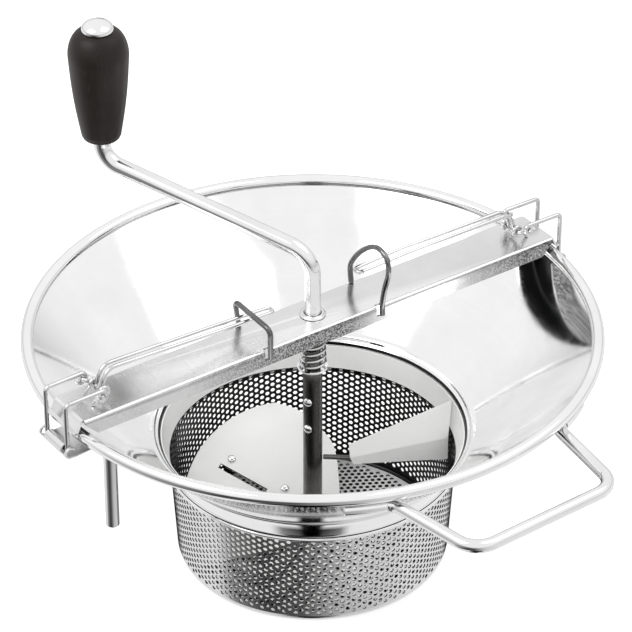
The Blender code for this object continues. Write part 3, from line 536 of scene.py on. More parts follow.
def tube(name, points, radius, material, sides=20, chamfer=0.2):
    """A round rod along a path, with its cut ends slightly chamfered."""
    path = [Vector(points[0])]
    for point in points[1:]:
        if (Vector(point) - path[-1]).length > SAME_POINT:
            path.append(Vector(point))
    last = len(path) - 1
    tangents = []
    for i, point in enumerate(path):
        after = path[min(i + 1, last)]
        into = (point - path[i - 1]).normalized() if i else (after - point).normalized()
        out = (after - point).normalized() if i < last else into
        tangents.append((into + out).normalized())
    side = tangents[0].orthogonal().normalized()
    rings = []
    for i, (point, tangent) in enumerate(zip(path, tangents)):
        side = (side - tangent * side.dot(tangent)).normalized()
        up = tangent.cross(side)
        angles = [2 * math.pi * k / sides for k in range(sides)]
        shape = [(side * math.cos(a) + up * math.sin(a)) * radius for a in angles]
        ring = [point + s for s in shape]
        if chamfer and i in (0, last):
            inwards = tangent * radius * chamfer * (1 if i == 0 else -1)
            both = [[point + s * (1 - chamfer) for s in shape], [p + inwards for p in ring]]
            rings += both if i == 0 else both[::-1]
        else:
            rings.append(ring)
    return solid(name, [v for ring in rings for v in ring], joined(len(rings), sides), material)


def wire(name, path, radius, material, body, node, sides=18):
    """A rod in place of a CAD node."""
    return piece(tube(name, path, radius, material, sides), body, node)


def plate(name, outline, thickness, material):
    """A flat outline in XY, thickened to both sides of Z = 0."""
    count = len(outline)
    verts = [(p[0], p[1], -thickness / 2) for p in outline] + [(p[0], p[1], thickness / 2) for p in outline]
    faces = [list(range(count))[::-1], list(range(count, 2 * count))]
    faces += [[i, (i + 1) % count, count + (i + 1) % count, count + i] for i in range(count)]
    return solid(name, verts, faces, material)


def upright_plate(name, outline, width, side, material):
    """An outline of (x, z) points for the right-hand side, thickened to both sides of Y = 0."""
    made = plate(name, [(side * x, z) for x, z in outline], width, material)
    made.data.transform(Matrix(((1, 0, 0, 0), (0, 0, 1, 0), (0, 1, 0, 0), (0, 0, 0, 1))))
    tidy_normals(made.data)
    return made


def block(low, high):
    low = Vector(low)
    high = Vector(high)
    verts = [(x, y, z) for x in (low.x, high.x) for y in (low.y, high.y) for z in (low.z, high.z)]
    faces = [(0, 1, 3, 2), (4, 6, 7, 5), (0, 4, 5, 1), (2, 3, 7, 6), (0, 2, 6, 4), (1, 5, 7, 3)]
    return solid("cutter", verts, faces, None)


def drill(radius, start, end, sides=48):
    return tube("cutter", [start, end], radius, None, sides, chamfer=0)


def cross_hole(target, z):
    """Drills the hole of a hub pin through a piece of the rotor."""
    reach = polar(SLEEVE_R + 2 * MM, PIN_ANGLE)
    centre = Vector((0, 0, z))
    change(target, drill(PIN_R + GAP, centre - reach, centre + reach, 24))


def change(target, cutter, operation="DIFFERENCE"):
    """Applies one Boolean and removes its cutter."""
    step = target.modifiers.new("cut", "BOOLEAN")
    step.operation = operation
    step.solver = "EXACT"
    step.object = cutter
    bake(target)
    bpy.data.objects.remove(cutter, do_unlink=True)
    return target


def bake(target):
    """Applies the object's modifiers and its transform to its mesh."""
    bpy.context.view_layer.update()
    graph = bpy.context.evaluated_depsgraph_get()
    mesh = bpy.data.meshes.new_from_object(target.evaluated_get(graph))
    mesh.transform(target.matrix_world)
    target.modifiers.clear()
    target.data = mesh
    target.matrix_world = Matrix.Identity(4)


def eased(target, width, segments=2, angle=40):
    """Rounds the sharp edges, as deburred sheet has them."""
    step = target.modifiers.new("ease", "BEVEL")
    step.width = width
    step.segments = segments
    step.limit_method = "ANGLE"
    step.angle_limit = math.radians(angle)
    step.use_clamp_overlap = True
    step.harden_normals = False
    bake(target)
    tidy_normals(target.data, 50)
    weighted = target.modifiers.new("flat_faces", "WEIGHTED_NORMAL")
    weighted.keep_sharp = True
    bake(target)
    return target


def placed(target, matrix):
    target.data.transform(matrix)
    return target


def paint_shade_and_light(made, material, chosen):
    """Gives the chosen faces a second material: painted shade where it is darker, painted light where it is
    brighter.
    """
    made.data.materials.append(material)
    for face in made.data.polygons:
        if chosen(face):
            face.material_index = len(made.data.materials) - 1


def faces_out(face):
    """Whether a face of a turned piece looks away from the mill's axis."""
    outward = face.center.x * face.normal.x + face.center.y * face.normal.y
    return outward > 0.5 * math.hypot(face.center.x, face.center.y)


def is_sieve_in_shade(face):
    """Whether a face is a hole's edge or the inside of the perforated wall, both given painted shade."""
    return face.center.z < DRUM_SMOOTH_Z and not faces_out(face)


def is_sieve_band(face):
    """Whether a face belongs to the inside of the smooth band over the perforation, which gets painted
    light.
    """
    return face.center.z >= DRUM_SMOOTH_Z and not faces_out(face)


def is_bar_flange(face):
    """Whether a face belongs to the outside of one of the bar's upright flanges."""
    return abs(face.center.y) > BAR_HALF_WIDTH - 0.4 * MM and abs(face.normal.y) > 0.8


def is_under_bar(face):
    """Whether a face belongs to the inside of the bar's channel, which gets painted shade."""
    between = abs(face.center.y) < BAR_HALF_WIDTH - BAR_SHEET + 0.3 * MM
    below = face.center.z < BAR_TOP_Z - BAR_SHEET + 0.2 * MM
    return between and below and abs(face.center.x) < BAR_SLOPE_START


def piece(made, body, *nodes):
    """Puts a finished piece on its body, in place of its CAD nodes."""
    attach(made, body)
    if nodes:
        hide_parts(*nodes)
    return made


# ---------- dish

def make_dish():
    """The dish with its rolled rim, a rounded throat and the tapered neck that holds the drum."""
    degrees = math.degrees(LEAN)
    across = (-math.sin(LEAN) * SHEET / 2, math.cos(LEAN) * SHEET / 2)
    rim = arc((RIM_R, RIM_Z), BEAD_R, 180 + degrees - 9, 180 + degrees + 9 - 360, 40)
    shoulder = arc((THROAT_R, THROAT_Z), 1.6 * MM, 30, -100, 10)
    neck_out = [
        (NECK_TOP_R + SHEET, THROAT_Z - 5 * MM),
        (NECK_TOP_R + SHEET - 0.9 * MM, THROAT_Z - 8 * MM),
        (NECK_LOW_R + SHEET + 1.1 * MM, NECK_LOW_Z + 5.5 * MM),
        (NECK_LOW_R + SHEET + 0.5 * MM, NECK_LOW_Z + 3.6 * MM),
    ]
    lip = arc((NECK_LOW_R + SHEET, NECK_LOW_Z + 1.6 * MM), 1.55 * MM, 60, -90, 10)
    inner = [
        (NECK_LOW_R, NECK_LOW_Z + 0.1 * MM),
        (NECK_TOP_R, THROAT_Z - 3.2 * MM),
    ]
    seat = smooth([(NECK_TOP_R + 0.1 * MM, THROAT_Z - 2.2 * MM, 0),
                   (NECK_TOP_R + 1.3 * MM, THROAT_Z - 0.5 * MM, 0),
                   (THROAT_R - 0.6 * MM, THROAT_Z + 0.6 * MM, 0),
                   (THROAT_R + 0.9 * MM + across[0], THROAT_Z + across[1] + 2.2 * MM, 0),
                   (THROAT_R + 4 * MM + across[0], THROAT_Z + 4 * MM * math.tan(LEAN) + across[1], 0)], 5)
    profile = rim + shoulder + neck_out + lip + inner + [(p.x, p.y) for p in seat]
    dish = turned("dish", profile, DISH_STEEL, 256, sharp=50)
    # painted shade in the groove and the pressed lines
    paint_shade_and_light(dish, GROOVE_SHADE_STEEL, is_dish_groove)
    return piece(dish, "bowl_set", "bowl")


def is_dish_groove(face):
    """Whether a face lies in the groove at the drum's rim, or in a pressed line round the neck; these faces
    get painted shade.
    """
    reach = math.hypot(face.center.x, face.center.y)
    z = face.center.z
    groove = reach < THROAT_R - 1.2 * MM and THROAT_Z - 2.4 * MM < z < THROAT_Z - 0.6 * MM
    shoulder = faces_out(face) and THROAT_Z - 2.2 * MM < z < THROAT_Z - 1.2 * MM
    lip = faces_out(face) and NECK_LOW_Z + 2.9 * MM < z < NECK_LOW_Z + 4.0 * MM
    return groove or shoulder or lip


# ---------- sieve drum

def wall_radius(z):
    """Outer radius of the perforated wall."""
    share = (z - DRUM_CORNER) / (DRUM_BAND_Z - DRUM_CORNER)
    return DRUM_LOW_R + (DRUM_BAND_R - DRUM_LOW_R) * share


class Shell:
    """A sheet built as matched outer and inner points, closed along its open edges."""

    def __init__(self):
        self.outer = []
        self.inner = []
        self.faces = []
        self.known = {}

    def point(self, column, outer, inner=None, key=None):
        """A matched pair, from (radius, z) points; the inner one is a sheet's width in by default."""
        if key in self.known:
            return self.known[key]
        angle = 2 * math.pi * column / HOLE_COLUMNS
        inner = inner or (outer[0] - WALL_SHEET, outer[1])
        self.outer.append(polar(outer[0], angle, outer[1]))
        self.inner.append(polar(inner[0], angle, inner[1]))
        index = len(self.outer) - 1
        if key is not None:
            self.known[key] = index
        return index

    def build(self, name, material):
        count = len(self.outer)
        edges = {}
        for face in self.faces:
            for a, b in zip(face, face[1:] + face[:1]):
                edges[(a, b)] = (a, b)
        rims = [edge for edge in edges if (edge[1], edge[0]) not in edges]
        faces = self.faces + [[count + i for i in reversed(face)] for face in self.faces]
        faces += [[b, a, count + a, count + b] for a, b in rims]
        return solid(name, self.outer + self.inner, faces, material, 42)


def make_drum_wall():
    """Smooth band, perforated wall and rounded corner; each hole sits in a six-sided cell."""
    shell = Shell()

    def wall_point(thirds, level):
        """A corner shared by cells, at a third of a column and a number of half rows."""
        z = DRUM_CORNER + level * HOLE_ROW / 2
        return shell.point(thirds / 3, (wall_radius(z), z), None, (thirds % (3 * HOLE_COLUMNS), level))

    pitch = 2 * math.pi * (DRUM_LOW_R + DRUM_BAND_R) / 2 / HOLE_COLUMNS
    corner_places = [(2, 0), (1, 1), (-1, 1), (-2, 0), (-1, -1), (1, -1)]
    for column in range(HOLE_COLUMNS):
        for row in range(HOLE_ROWS):
            level = 2 * row + 1 + (column + 1) % 2
            hole = []
            for across, up in arc((column * pitch, DRUM_CORNER + level * HOLE_ROW / 2), HOLE_R, 0, 330, 11):
                hole.append(shell.point(across / pitch, (wall_radius(up), up)))
            corners = [wall_point(3 * column + a, level + b) for a, b in corner_places]
            for k in range(6):
                after = (k + 1) % 6
                shell.faces.append([corners[k], corners[after], hole[(2 * k + 2) % 12], hole[2 * k + 1],
                                    hole[2 * k]])

    def edge_ring(level_even, level_odd):
        ring = []
        for column in range(HOLE_COLUMNS):
            level = level_even if column % 2 else level_odd
            ring += [wall_point(3 * column - 1, level), wall_point(3 * column + 1, level)]
        return ring

    def plain_ring(outer, inner=None):
        columns = range(HOLE_COLUMNS)
        return [shell.point(column + side / 3, outer, inner) for column in columns for side in (-1, 1)]

    def join(rings):
        """Faces between rings that are listed upwards."""
        for lower, upper in zip(rings, rings[1:]):
            for i in range(len(lower)):
                after = (i + 1) % len(lower)
                shell.faces.append([lower[i], lower[after], upper[after], upper[i]])

    band_top = THROAT_Z - 2.6 * MM
    band = [(DRUM_BAND_R, DRUM_BAND_Z), (DRUM_BAND_R + 0.5 * MM, DRUM_BAND_Z + 1.1 * MM)]
    band += [(DRUM_BAND_R + (DRUM_TOP_R - DRUM_BAND_R) * t, DRUM_BAND_Z + (band_top - DRUM_BAND_Z) * t)
             for t in (0.25, 0.5, 0.75, 0.93)]
    band += [(DRUM_TOP_R, band_top)]
    join([edge_ring(2 * HOLE_ROWS, 2 * HOLE_ROWS + 1)] + [plain_ring(outer) for outer in band])
    centre = (DRUM_LOW_R - DRUM_CORNER, DRUM_CORNER)
    outside = arc(centre, DRUM_CORNER, 0, -90, 10)
    inside = arc(centre, DRUM_CORNER - WALL_SHEET, 0, -90, 10)
    corner = [edge_ring(0, 1)] + [plain_ring(outer, inner) for outer, inner in zip(outside, inside)]
    join(corner[::-1])
    wall = shell.build("sieve_wall", SIEVE_STEEL)
    # painted shade on the wall's inside and the holes' edges
    paint_shade_and_light(wall, SIEVE_SHADE, is_sieve_in_shade)
    # painted light on the inside of the smooth band
    paint_shade_and_light(wall, PAINTED_LIGHT_STEEL, is_sieve_band)
    return piece(wall, "bowl_set", "sieve_drum")


def make_drum_floor():
    """The flat perforated floor, filled from its outline and its holes."""
    curve = bpy.data.curves.new("sieve_floor_outline", "CURVE")
    curve.dimensions = "2D"
    curve.fill_mode = "BOTH"
    curve.extrude = DRUM_SHEET / 2
    reach = DRUM_LOW_R - DRUM_CORNER

    def add_ring(x, y, radius, sides):
        spline = curve.splines.new("POLY")
        spline.points.add(sides - 1)
        for k, point in enumerate(spline.points):
            angle = 2 * math.pi * k / sides
            point.co = (x + radius * math.cos(angle), y + radius * math.sin(angle), 0, 1)
        spline.use_cyclic_u = True

    add_ring(0, 0, reach, 300)
    across = HOLE_ROW * math.sqrt(3) / 2
    columns = int(reach / across)
    rows = int(reach / HOLE_ROW)
    for column in range(-columns, columns + 1):
        for row in range(-rows - 1, rows + 1):
            x = column * across
            y = (row + (column % 2) / 2) * HOLE_ROW
            if math.hypot(x, y) < reach - 2.6 * MM:
                add_ring(x, y, HOLE_R, 10)
    source = link(bpy.data.objects.new("sieve_floor_source", curve))
    bpy.context.view_layer.update()
    graph = bpy.context.evaluated_depsgraph_get()
    mesh = bpy.data.meshes.new_from_object(source.evaluated_get(graph))
    bpy.data.objects.remove(source, do_unlink=True)
    mesh.transform(Matrix.Translation((0, 0, DRUM_SHEET / 2)))
    tidy_normals(mesh)
    mesh.materials.clear()
    mesh.materials.append(SIEVE_STEEL)
    made = link(bpy.data.objects.new("sieve_floor", mesh))
    # painted light on the floor's top
    paint_shade_and_light(made, PAINTED_LIGHT_STEEL, lambda face: face.normal.z > 0.5)
    # painted shade on the edges of the floor's holes
    paint_shade_and_light(made, SIEVE_SHADE, lambda face: abs(face.normal.z) < 0.5)
    return piece(made, "bowl_set")


# ---------- bridge bar

def make_bar():
    """A pressed channel; its web steps down at each end as a tongue on the rim."""
    half = BAR_HALF_WIDTH
    inside = half - BAR_SHEET
    bend_in = BAR_BEND - BAR_SHEET
    top = BAR_TOP_Z
    section = (
        [(-half, BAR_FLANGE_Z)]
        + arc((-half + BAR_BEND, top - BAR_BEND), BAR_BEND, 180, 90, 10)
        + arc((half - BAR_BEND, top - BAR_BEND), BAR_BEND, 90, 0, 10)
        + [(half, BAR_FLANGE_Z), (inside, BAR_FLANGE_Z)]
        + arc((inside - bend_in, top - BAR_SHEET - bend_in), bend_in, 0, 90, 5)
        + arc((-inside + bend_in, top - BAR_SHEET - bend_in), bend_in, 90, 180, 5)
        + [(-inside, BAR_FLANGE_Z)]
    )
    bar = plate("bar", section, 2 * BAR_SLOPE_START, BAR_STEEL)
    placed(bar, Matrix(((0, 0, 1, 0), (1, 0, 0, 0), (0, 1, 0, 0), (0, 0, 0, 1))))
    web = top - BAR_SHEET
    for side in (1, -1):
        slant = [(BAR_FLANGE_END, BAR_FLANGE_Z - 1 * MM), (BAR_SLOPE_START + 1 * MM, web),
                 (BAR_SLOPE_START + 9 * MM, web), (BAR_SLOPE_START + 9 * MM, BAR_FLANGE_Z - 1 * MM)]
        change(bar, upright_plate("cutter", slant, 50 * MM, side, None))
        change(bar, make_tongue(side), "UNION")
    change(bar, drill(BORE_R, (0, 0, RIM_Z), (0, 0, top + 10 * MM)))
    for x in (HOOP_LEFT_X, HOOP_RIGHT_X):
        low = (x - NOTCH_HALF - 0.8 * MM, HOOP_NEAR_Y - 4 * MM, HOOP_FOOT_Z - 0.6 * MM)
        change(bar, block(low, (x + NOTCH_HALF, HOOP_NEAR_Y + 4.4 * MM, top + 5 * MM)))
    eased(bar, 0.28 * MM)
    # painted shade inside the bar's channel
    paint_shade_and_light(bar, BAR_CHANNEL_SHADE, is_under_bar)
    # painted shade on the outer faces of the flanges
    paint_shade_and_light(bar, FLANGE_SHADE_STEEL, is_bar_flange)
    return piece(bar, "bowl_set", "bridge_bar")


def make_tongue(side):
    """The end of the web: two easy bends down to the rolled rim."""
    low = TONGUE_Z
    high = BAR_TOP_Z - BAR_SHEET
    under = rounded([(BAR_SLOPE_START - 4 * MM, 0, high), (BAR_SLOPE_START + 1 * MM, 0, high),
                     (BAR_SLOPE_END, 0, low), (BAR_END, 0, low - 0.4 * MM)], (1.5 * MM, 2.5 * MM), 10)
    over = rounded([(BAR_SLOPE_START - 4 * MM, 0, high + BAR_SHEET),
                    (BAR_SLOPE_START + 1.6 * MM, 0, high + BAR_SHEET),
                    (BAR_SLOPE_END + 0.6 * MM, 0, low + BAR_SHEET),
                    (BAR_END, 0, low - 0.4 * MM + BAR_SHEET)], (3 * MM, 1 * MM), 10)
    outline = [(p.x, p.z) for p in under] + [(p.x, p.z) for p in reversed(over)]
    return upright_plate("tongue", outline, 2 * (BAR_HALF_WIDTH - BAR_BEND), side, BAR_STEEL)


def make_shaft_ring():
    low = BAR_TOP_Z + GAP
    inner = SHAFT_R + 0.4 * MM
    profile = [(8.6 * MM, low), (inner, low), (inner, low + 1.1 * MM)]
    profile += arc((inner + 0.5 * MM, low + 1.1 * MM), 0.5 * MM, 180, 60, 4)
    profile += [(7.4 * MM, low + 1.35 * MM), (8.2 * MM, low + 0.8 * MM)]
    return piece(turned("bar_ring", profile, BAR_STEEL, 64), "bowl_set", "shaft_ring")


# ---------- crank, grip, spring

def make_crank():
    out = polar(1, CRANK_ANGLE)
    low = Vector((0, 0, CRANK_LOW_Z))
    high = out * CRANK_REACH + Vector((0, 0, CRANK_HIGH_Z))
    end = out * CRANK_REACH + Vector((0, 0, GRIP_HIGH.z - GAP))
    corners = [(0, 0, SHAFT_BOTTOM_Z), low, high, end]
    path = rounded(corners, (CRANK_BEND, CRANK_BEND * 0.8), 3)
    path.insert(1, Vector((0, 0, BAR_TOP_Z - BAR_SHEET)))
    rod = tube("crank", path, SHAFT_R, ROD_STEEL, 36)
    # painted shade on the shaft below the bar's web
    paint_shade_and_light(rod, DEEP_SHADE_STEEL, lambda face: face.center.z < BAR_TOP_Z - BAR_SHEET)
    for z in PIN_HEIGHTS:
        cross_hole(rod, z)
    tidy_normals(rod.data)
    return piece(rod, "crank_set", "crank_rod")


def make_grip():
    """A pear-shaped moulded grip, widest near its top, with the rod's end under a domed cap."""
    top = GRIP_HIGH.z
    low = GRIP_LOW.z
    widest = low + 0.78 * (top - low)
    crown = CAP_R - 1 * MM          # the flat under the cap
    angles = [90 * i / 24 for i in range(25)]
    dome = [(crown + r, z) for r, z in domed(GRIP_MAX_R - crown, widest, top - widest, angles)]
    side = []
    for i in range(1, 24):
        t = i / 24
        bulge = math.sin(math.pi * t) * 1.1 * MM
        side.append((GRIP_MAX_R + (GRIP_LOW_R - GRIP_MAX_R) * t + bulge, widest + (low - widest) * t))
    foot = arc((GRIP_LOW_R - 2 * MM, low + 2 * MM), 2 * MM, 0, -90, 8)
    mouth = [(BORE_R + 0.8 * MM, low), (BORE_R, low + 0.8 * MM)]
    centre = (GRIP_CENTRE.x, GRIP_CENTRE.y)
    grip = turned("handle_grip", dome + side + foot + mouth + [(BORE_R, top)], GRIP_PLASTIC, 128, centre)
    piece(grip, "grip_set", "grip")
    low = top + GAP
    lens = domed(CAP_R, low + 0.9 * MM, CAP_HEIGHT - 0.9 * MM, range(0, 91, 6))
    rim = [(CAP_R, low + 0.5 * MM), (CAP_R - 0.4 * MM, low), (0, low)]
    cap = turned("handle_cap", lens + rim, ROD_STEEL, 96, centre)
    return piece(cap, "crank_set", "grip_cap")


def make_spring():
    """A compression spring with closed end coils, and the washer under it."""
    closed = 0.75                   # turns that lie on each other at each end
    low = SPRING_LOW_Z + SPRING_WIRE_R
    open_height = SPRING_TOP_Z - SPRING_LOW_Z - 6 * SPRING_WIRE_R
    path = []
    for i in range(40 * SPRING_TURNS + 1):
        turn = i / 40
        lift = min(max((turn - closed) / (SPRING_TURNS - 2 * closed), 0), 1)
        ends = min(turn, closed) + max(turn - SPRING_TURNS + closed, 0)
        z = low + SPRING_WIRE_R * 2 * ends / closed + open_height * lift
        radius = SPRING_LOW_R + (SPRING_TOP_R - SPRING_LOW_R) * turn / SPRING_TURNS
        path.append(polar(radius, 2 * math.pi * turn, z))
    spring = tube("coil_spring", path, SPRING_WIRE_R, WIRE_STEEL, 14)
    piece(spring, "thrust_set", "thrust_spring")
    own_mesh(spring)
    low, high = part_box("spring_washer")
    inner = BORE_R
    edge = 0.35 * MM
    profile = [(inner + edge, high.z), (high.x - edge, high.z), (high.x, high.z - edge),
               (high.x, low.z + edge), (high.x - edge, low.z), (inner + edge, low.z),
               (inner, low.z + edge), (inner, high.z - edge)]
    return piece(turned("washer", profile, ROD_STEEL, 64), "thrust_set", "spring_washer")


def make_sleeve():
    """The hub's tube, drilled for its two riveted pins."""
    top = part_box("hub_sleeve")[1].z
    inner = SHAFT_R + GAP
    edge = 0.3 * MM
    profile = [(SLEEVE_R - edge, top), (SLEEVE_R, top - edge), (SLEEVE_R, SLEEVE_LOW_Z + edge),
               (SLEEVE_R - edge, SLEEVE_LOW_Z), (inner, SLEEVE_LOW_Z), (inner, top)]
    # painted shade: the sleeve is coloured near black
    sleeve = turned("hub", profile, DEEP_SHADE_STEEL, 72)
    for index, z in enumerate(PIN_HEIGHTS):
        cross_hole(sleeve, z)
        make_pin("pin_%d" % (index + 1), "hub_pin_%d" % (index + 1), z)
    tidy_normals(sleeve.data)
    return piece(sleeve, "crank_set", "hub_sleeve")


def make_pin(name, node, z):
    """A cross pin with a domed head at each end."""
    half = SLEEVE_R + GAP
    end = domed(PIN_HEAD_R, half, PIN_HEAD_RISE, range(0, 91, 10)) + [(PIN_R, half)]
    pin = turned(name, end + [(radius, -reach) for radius, reach in end[::-1]], ROD_STEEL, 32)
    turn = Matrix.Rotation(PIN_ANGLE, 4, "Z") @ Matrix.Rotation(math.pi / 2, 4, "Y")
    placed(pin, Matrix.Translation((0, 0, z)) @ turn)
    return piece(pin, "crank_set", node)


# ---------- rotor

def blade_frame():
    """From the blade's own plane (x along its low edge, y up its slope) to the mill."""
    turn = Matrix.Rotation(BLADE_UP_ANGLE - math.pi / 2, 4, "Z")
    return Matrix.Translation((0, 0, BLADE_AXIS_Z)) @ turn @ Matrix.Rotation(BLADE_TILT, 4, "X")


def brace_frame():
    """On the blade's plane, x along the brace."""
    plane = blade_frame()
    normal = plane.to_3x3() @ Vector((0, 0, 1))
    x, y = BRACE_CENTRE
    z = BLADE_AXIS_Z - (normal.x * x + normal.y * y) / normal.z
    along = polar(1, BRACE_ANGLE)
    along = (along - normal * along.dot(normal)).normalized()
    turn = Matrix.Identity(3)
    turn.col[0] = along
    turn.col[1] = normal.cross(along)
    turn.col[2] = normal
    return Matrix.Translation((x, y, z)) @ turn.to_4x4()


def drill_for_rivet(target, x):
    change(target, placed(drill(RIVET_R + GAP, (x, 0, -8 * MM), (x, 0, 5 * MM), 24), brace_frame()))


def make_blade():
    """Half a disc that slopes from the drum's floor up its wall, slotted and riveted."""
    stretch = 1 / math.cos(BLADE_TILT)
    start = BLADE_TRIM_ANGLE
    end = math.pi + math.asin(BLADE_FRONT / BLADE_R)
    outline = []
    for i in range(97):
        x, y, _ = polar(BLADE_R, start + (end - start) * i / 96)
        outline.append((x, y * stretch))
    trim = [(x * MM, y * MM, 0) for x, y in reversed(BLADE_TRIM)]
    side = smooth([(BLADE_FRONT_X, -BLADE_FRONT, 0)] + trim + [polar(BLADE_R, start)], 8)
    outline += [(p.x, p.y * stretch) for p in side[:-1]]
    blade = placed(plate("rotor_blade", outline, BLADE_THICK, BLADE_STEEL), blade_frame())
    change(blade, drill(SLEEVE_R + GAP, (0, 0, -20 * MM), (0, 0, 60 * MM)))
    reach = Vector((SLOT_HALF_LENGTH, SLOT_HALF_WIDTH, 10 * MM))
    slot = block(-reach, reach)
    change(blade, placed(slot, brace_frame() @ Matrix.Translation((*SLOT_PLACE, 0))))
    for x in RIVET_PLACES:
        drill_for_rivet(blade, x)
    eased(blade, 0.25 * MM)
    # painted shade on the blade's faces that do not look up
    paint_shade_and_light(blade, BLADE_UNDER_SHADE, lambda face: face.normal.z < 0.3)
    piece(blade, "crank_set", "blade")
    make_brace()


def make_brace():
    """A flat strap under the blade, and the two rivets through both."""
    drop = BLADE_THICK / 2 + GAP + BRACE_THICK / 2
    left = arc((-BRACE_END_X, 0), BRACE_END_R, 90, 270, 20)
    right = arc((BRACE_END_X, 0), BRACE_END_R, -90, 90, 20)
    brace = plate("rotor_brace", left + right, BRACE_THICK, ROD_STEEL)
    placed(brace, brace_frame() @ Matrix.Translation((0, 0, -drop)))
    for index, x in enumerate(RIVET_PLACES):
        drill_for_rivet(brace, x)
        half = BLADE_THICK / 2 + GAP
        under = -half - BRACE_THICK - GAP
        outline = domed(RIVET_HEAD_R, half, RIVET_HEAD_RISE, range(0, 91, 10))
        outline += [(RIVET_R, half), (RIVET_R, under), (0, under)]
        rivet = turned("rivet_%d" % (index + 1), outline, ROD_STEEL, 32)
        placed(rivet, brace_frame() @ Matrix.Translation((x, 0, 0)))
        piece(rivet, "crank_set", "blade_rivet_%d" % (index + 1))
    eased(brace, 0.25 * MM)
    piece(brace, "crank_set", "blade_brace")


def wing_frame():
    return Matrix.Translation((*WING_PLACE, WING_Z)) @ Matrix.Rotation(WING_ANGLE, 4, "Z")


def make_wing():
    """A folded sheet that sweeps the neck: a sloping triangle over an upright strip."""
    points = [
        (0, 0, 0), (WING_LENGTH, 0, 0),
        (WING_LENGTH + WING_OVERHANG, WING_RISE * WING_LEAN, WING_RISE),
        (0.8 * MM, WING_INNER_RISE * WING_LEAN, WING_INNER_RISE),
        (2 * MM, 0, -WING_INNER_DROP), (WING_LENGTH, 0, -WING_DROP),
    ]
    mesh = bpy.data.meshes.new("rotor_wing")
    mesh.from_pydata(points, [], [(0, 1, 2, 3), (4, 5, 1, 0)])
    mesh.materials.append(BLADE_STEEL)
    wing = link(bpy.data.objects.new("rotor_wing", mesh))
    skin = wing.modifiers.new("sheet", "SOLIDIFY")
    skin.thickness = WING_THICK
    skin.offset = 0
    bake(wing)
    placed(wing, wing_frame())
    eased(wing, 0.4 * MM, 3, 25)
    # painted light on the wing's upright strip
    paint_shade_and_light(wing, PAINTED_LIGHT_STEEL, lambda face: face.center.z < WING_Z and abs(face.normal.z) < 0.3)
    piece(wing, "crank_set", "wing")
    back = WING_THICK / 2 + GAP + WING_ARM_R
    bend = wing_frame() @ Vector((3 * MM, back, -WING_ARM_DROP))
    end = wing_frame() @ Vector((16 * MM, back, -WING_ARM_DROP))
    start = Vector((bend.x, bend.y, 0)).normalized() * (SLEEVE_R + 2 * GAP)
    start.z = bend.z
    path = rounded([start, bend, end], (5 * MM,))
    # painted shade on the wing's arm
    wire("rotor_wing_arm", path, WING_ARM_R, DEEP_SHADE_STEEL, "crank_set", "wing_arm", 16)


# ---------- hoops and latches

def make_hoops():
    foot = BAR_TOP_Z + 1.4 * GAP
    near = HOOP_NEAR_Y
    far = HOOP_FAR_Y
    z = RIM_Z
    x = HOOP_LEFT_X
    low_hoop = [(x, near, HOOP_FOOT_Z), (x, near, z + 26.5 * MM), (x - 3 * MM, far + 1 * MM, z + 31 * MM),
                (x - 1 * MM, far, foot)]
    low_path = rounded(low_hoop, (5 * MM, 3.5 * MM), 5)
    # painted shade: the keeper hoops take a darker copy of the wire steel
    wire("keeper_left", low_path, HOOP_WIRE_R, HOOP_SHADE_STEEL, "hoop_left_set", "hoop_left", 20)
    x = HOOP_RIGHT_X
    arch = [(x, near, HOOP_FOOT_Z), (x, near, z + 14 * MM), (x, near - 2.2 * MM, z + 26 * MM),
            (x, near - 6 * MM, z + 40 * MM), (x, near - 4 * MM, z + 50 * MM), (x, -14 * MM, z + 53 * MM),
            (x, -5 * MM, z + 49.5 * MM), (x, 5 * MM, z + 41 * MM), (x, 13 * MM, z + 31 * MM),
            (x, far + 1 * MM, z + 23 * MM), (x, far, foot)]
    wire("keeper_right", smooth(arch, 8), HOOP_WIRE_R, HOOP_SHADE_STEEL, "hoop_right_set", "hoop_right", 20)


def mirrored(points, side):
    return [Vector((side * p[0], p[1], p[2])) for p in points]


def loop(centre_x, centre_z, radius, y, start, end, count):
    return [Vector((a, y, b)) for a, b in arc((centre_x, centre_z), radius, start, end, count)]


def across(path):
    """A half path on the -Y side, carried on by its mirror image in Y."""
    other = [Vector((p[0], -p[1], p[2])) for p in reversed(path)]
    return [Vector(p) for p in path] + other


def make_eye_wire(side, label):
    """One wire: a foot on the bar, an eye round the pivot, under the lever to the other side."""
    radius = LOOP_INNER_R + EYE_WIRE_R
    eye = loop(PIVOT_X, PIVOT_Z, radius, -EYE_Y, -15, 265, 36)
    foot = [Vector((EYE_FOOT_X, -EYE_Y, BAR_TOP_Z + GAP)),
            Vector((EYE_FOOT_X, -EYE_Y, BAR_TOP_Z + 1.5 * MM))]
    under = PIVOT_Z + radius * math.sin(math.radians(290))
    cross = [Vector((PIVOT_X + radius * math.cos(math.radians(285)), -EYE_Y + 1.6 * MM, under))]
    path = mirrored(across(foot + eye + cross), side)
    wire("eye_" + label, path, EYE_WIRE_R, WIRE_STEEL, "bowl_set", "latch_eye_" + label)


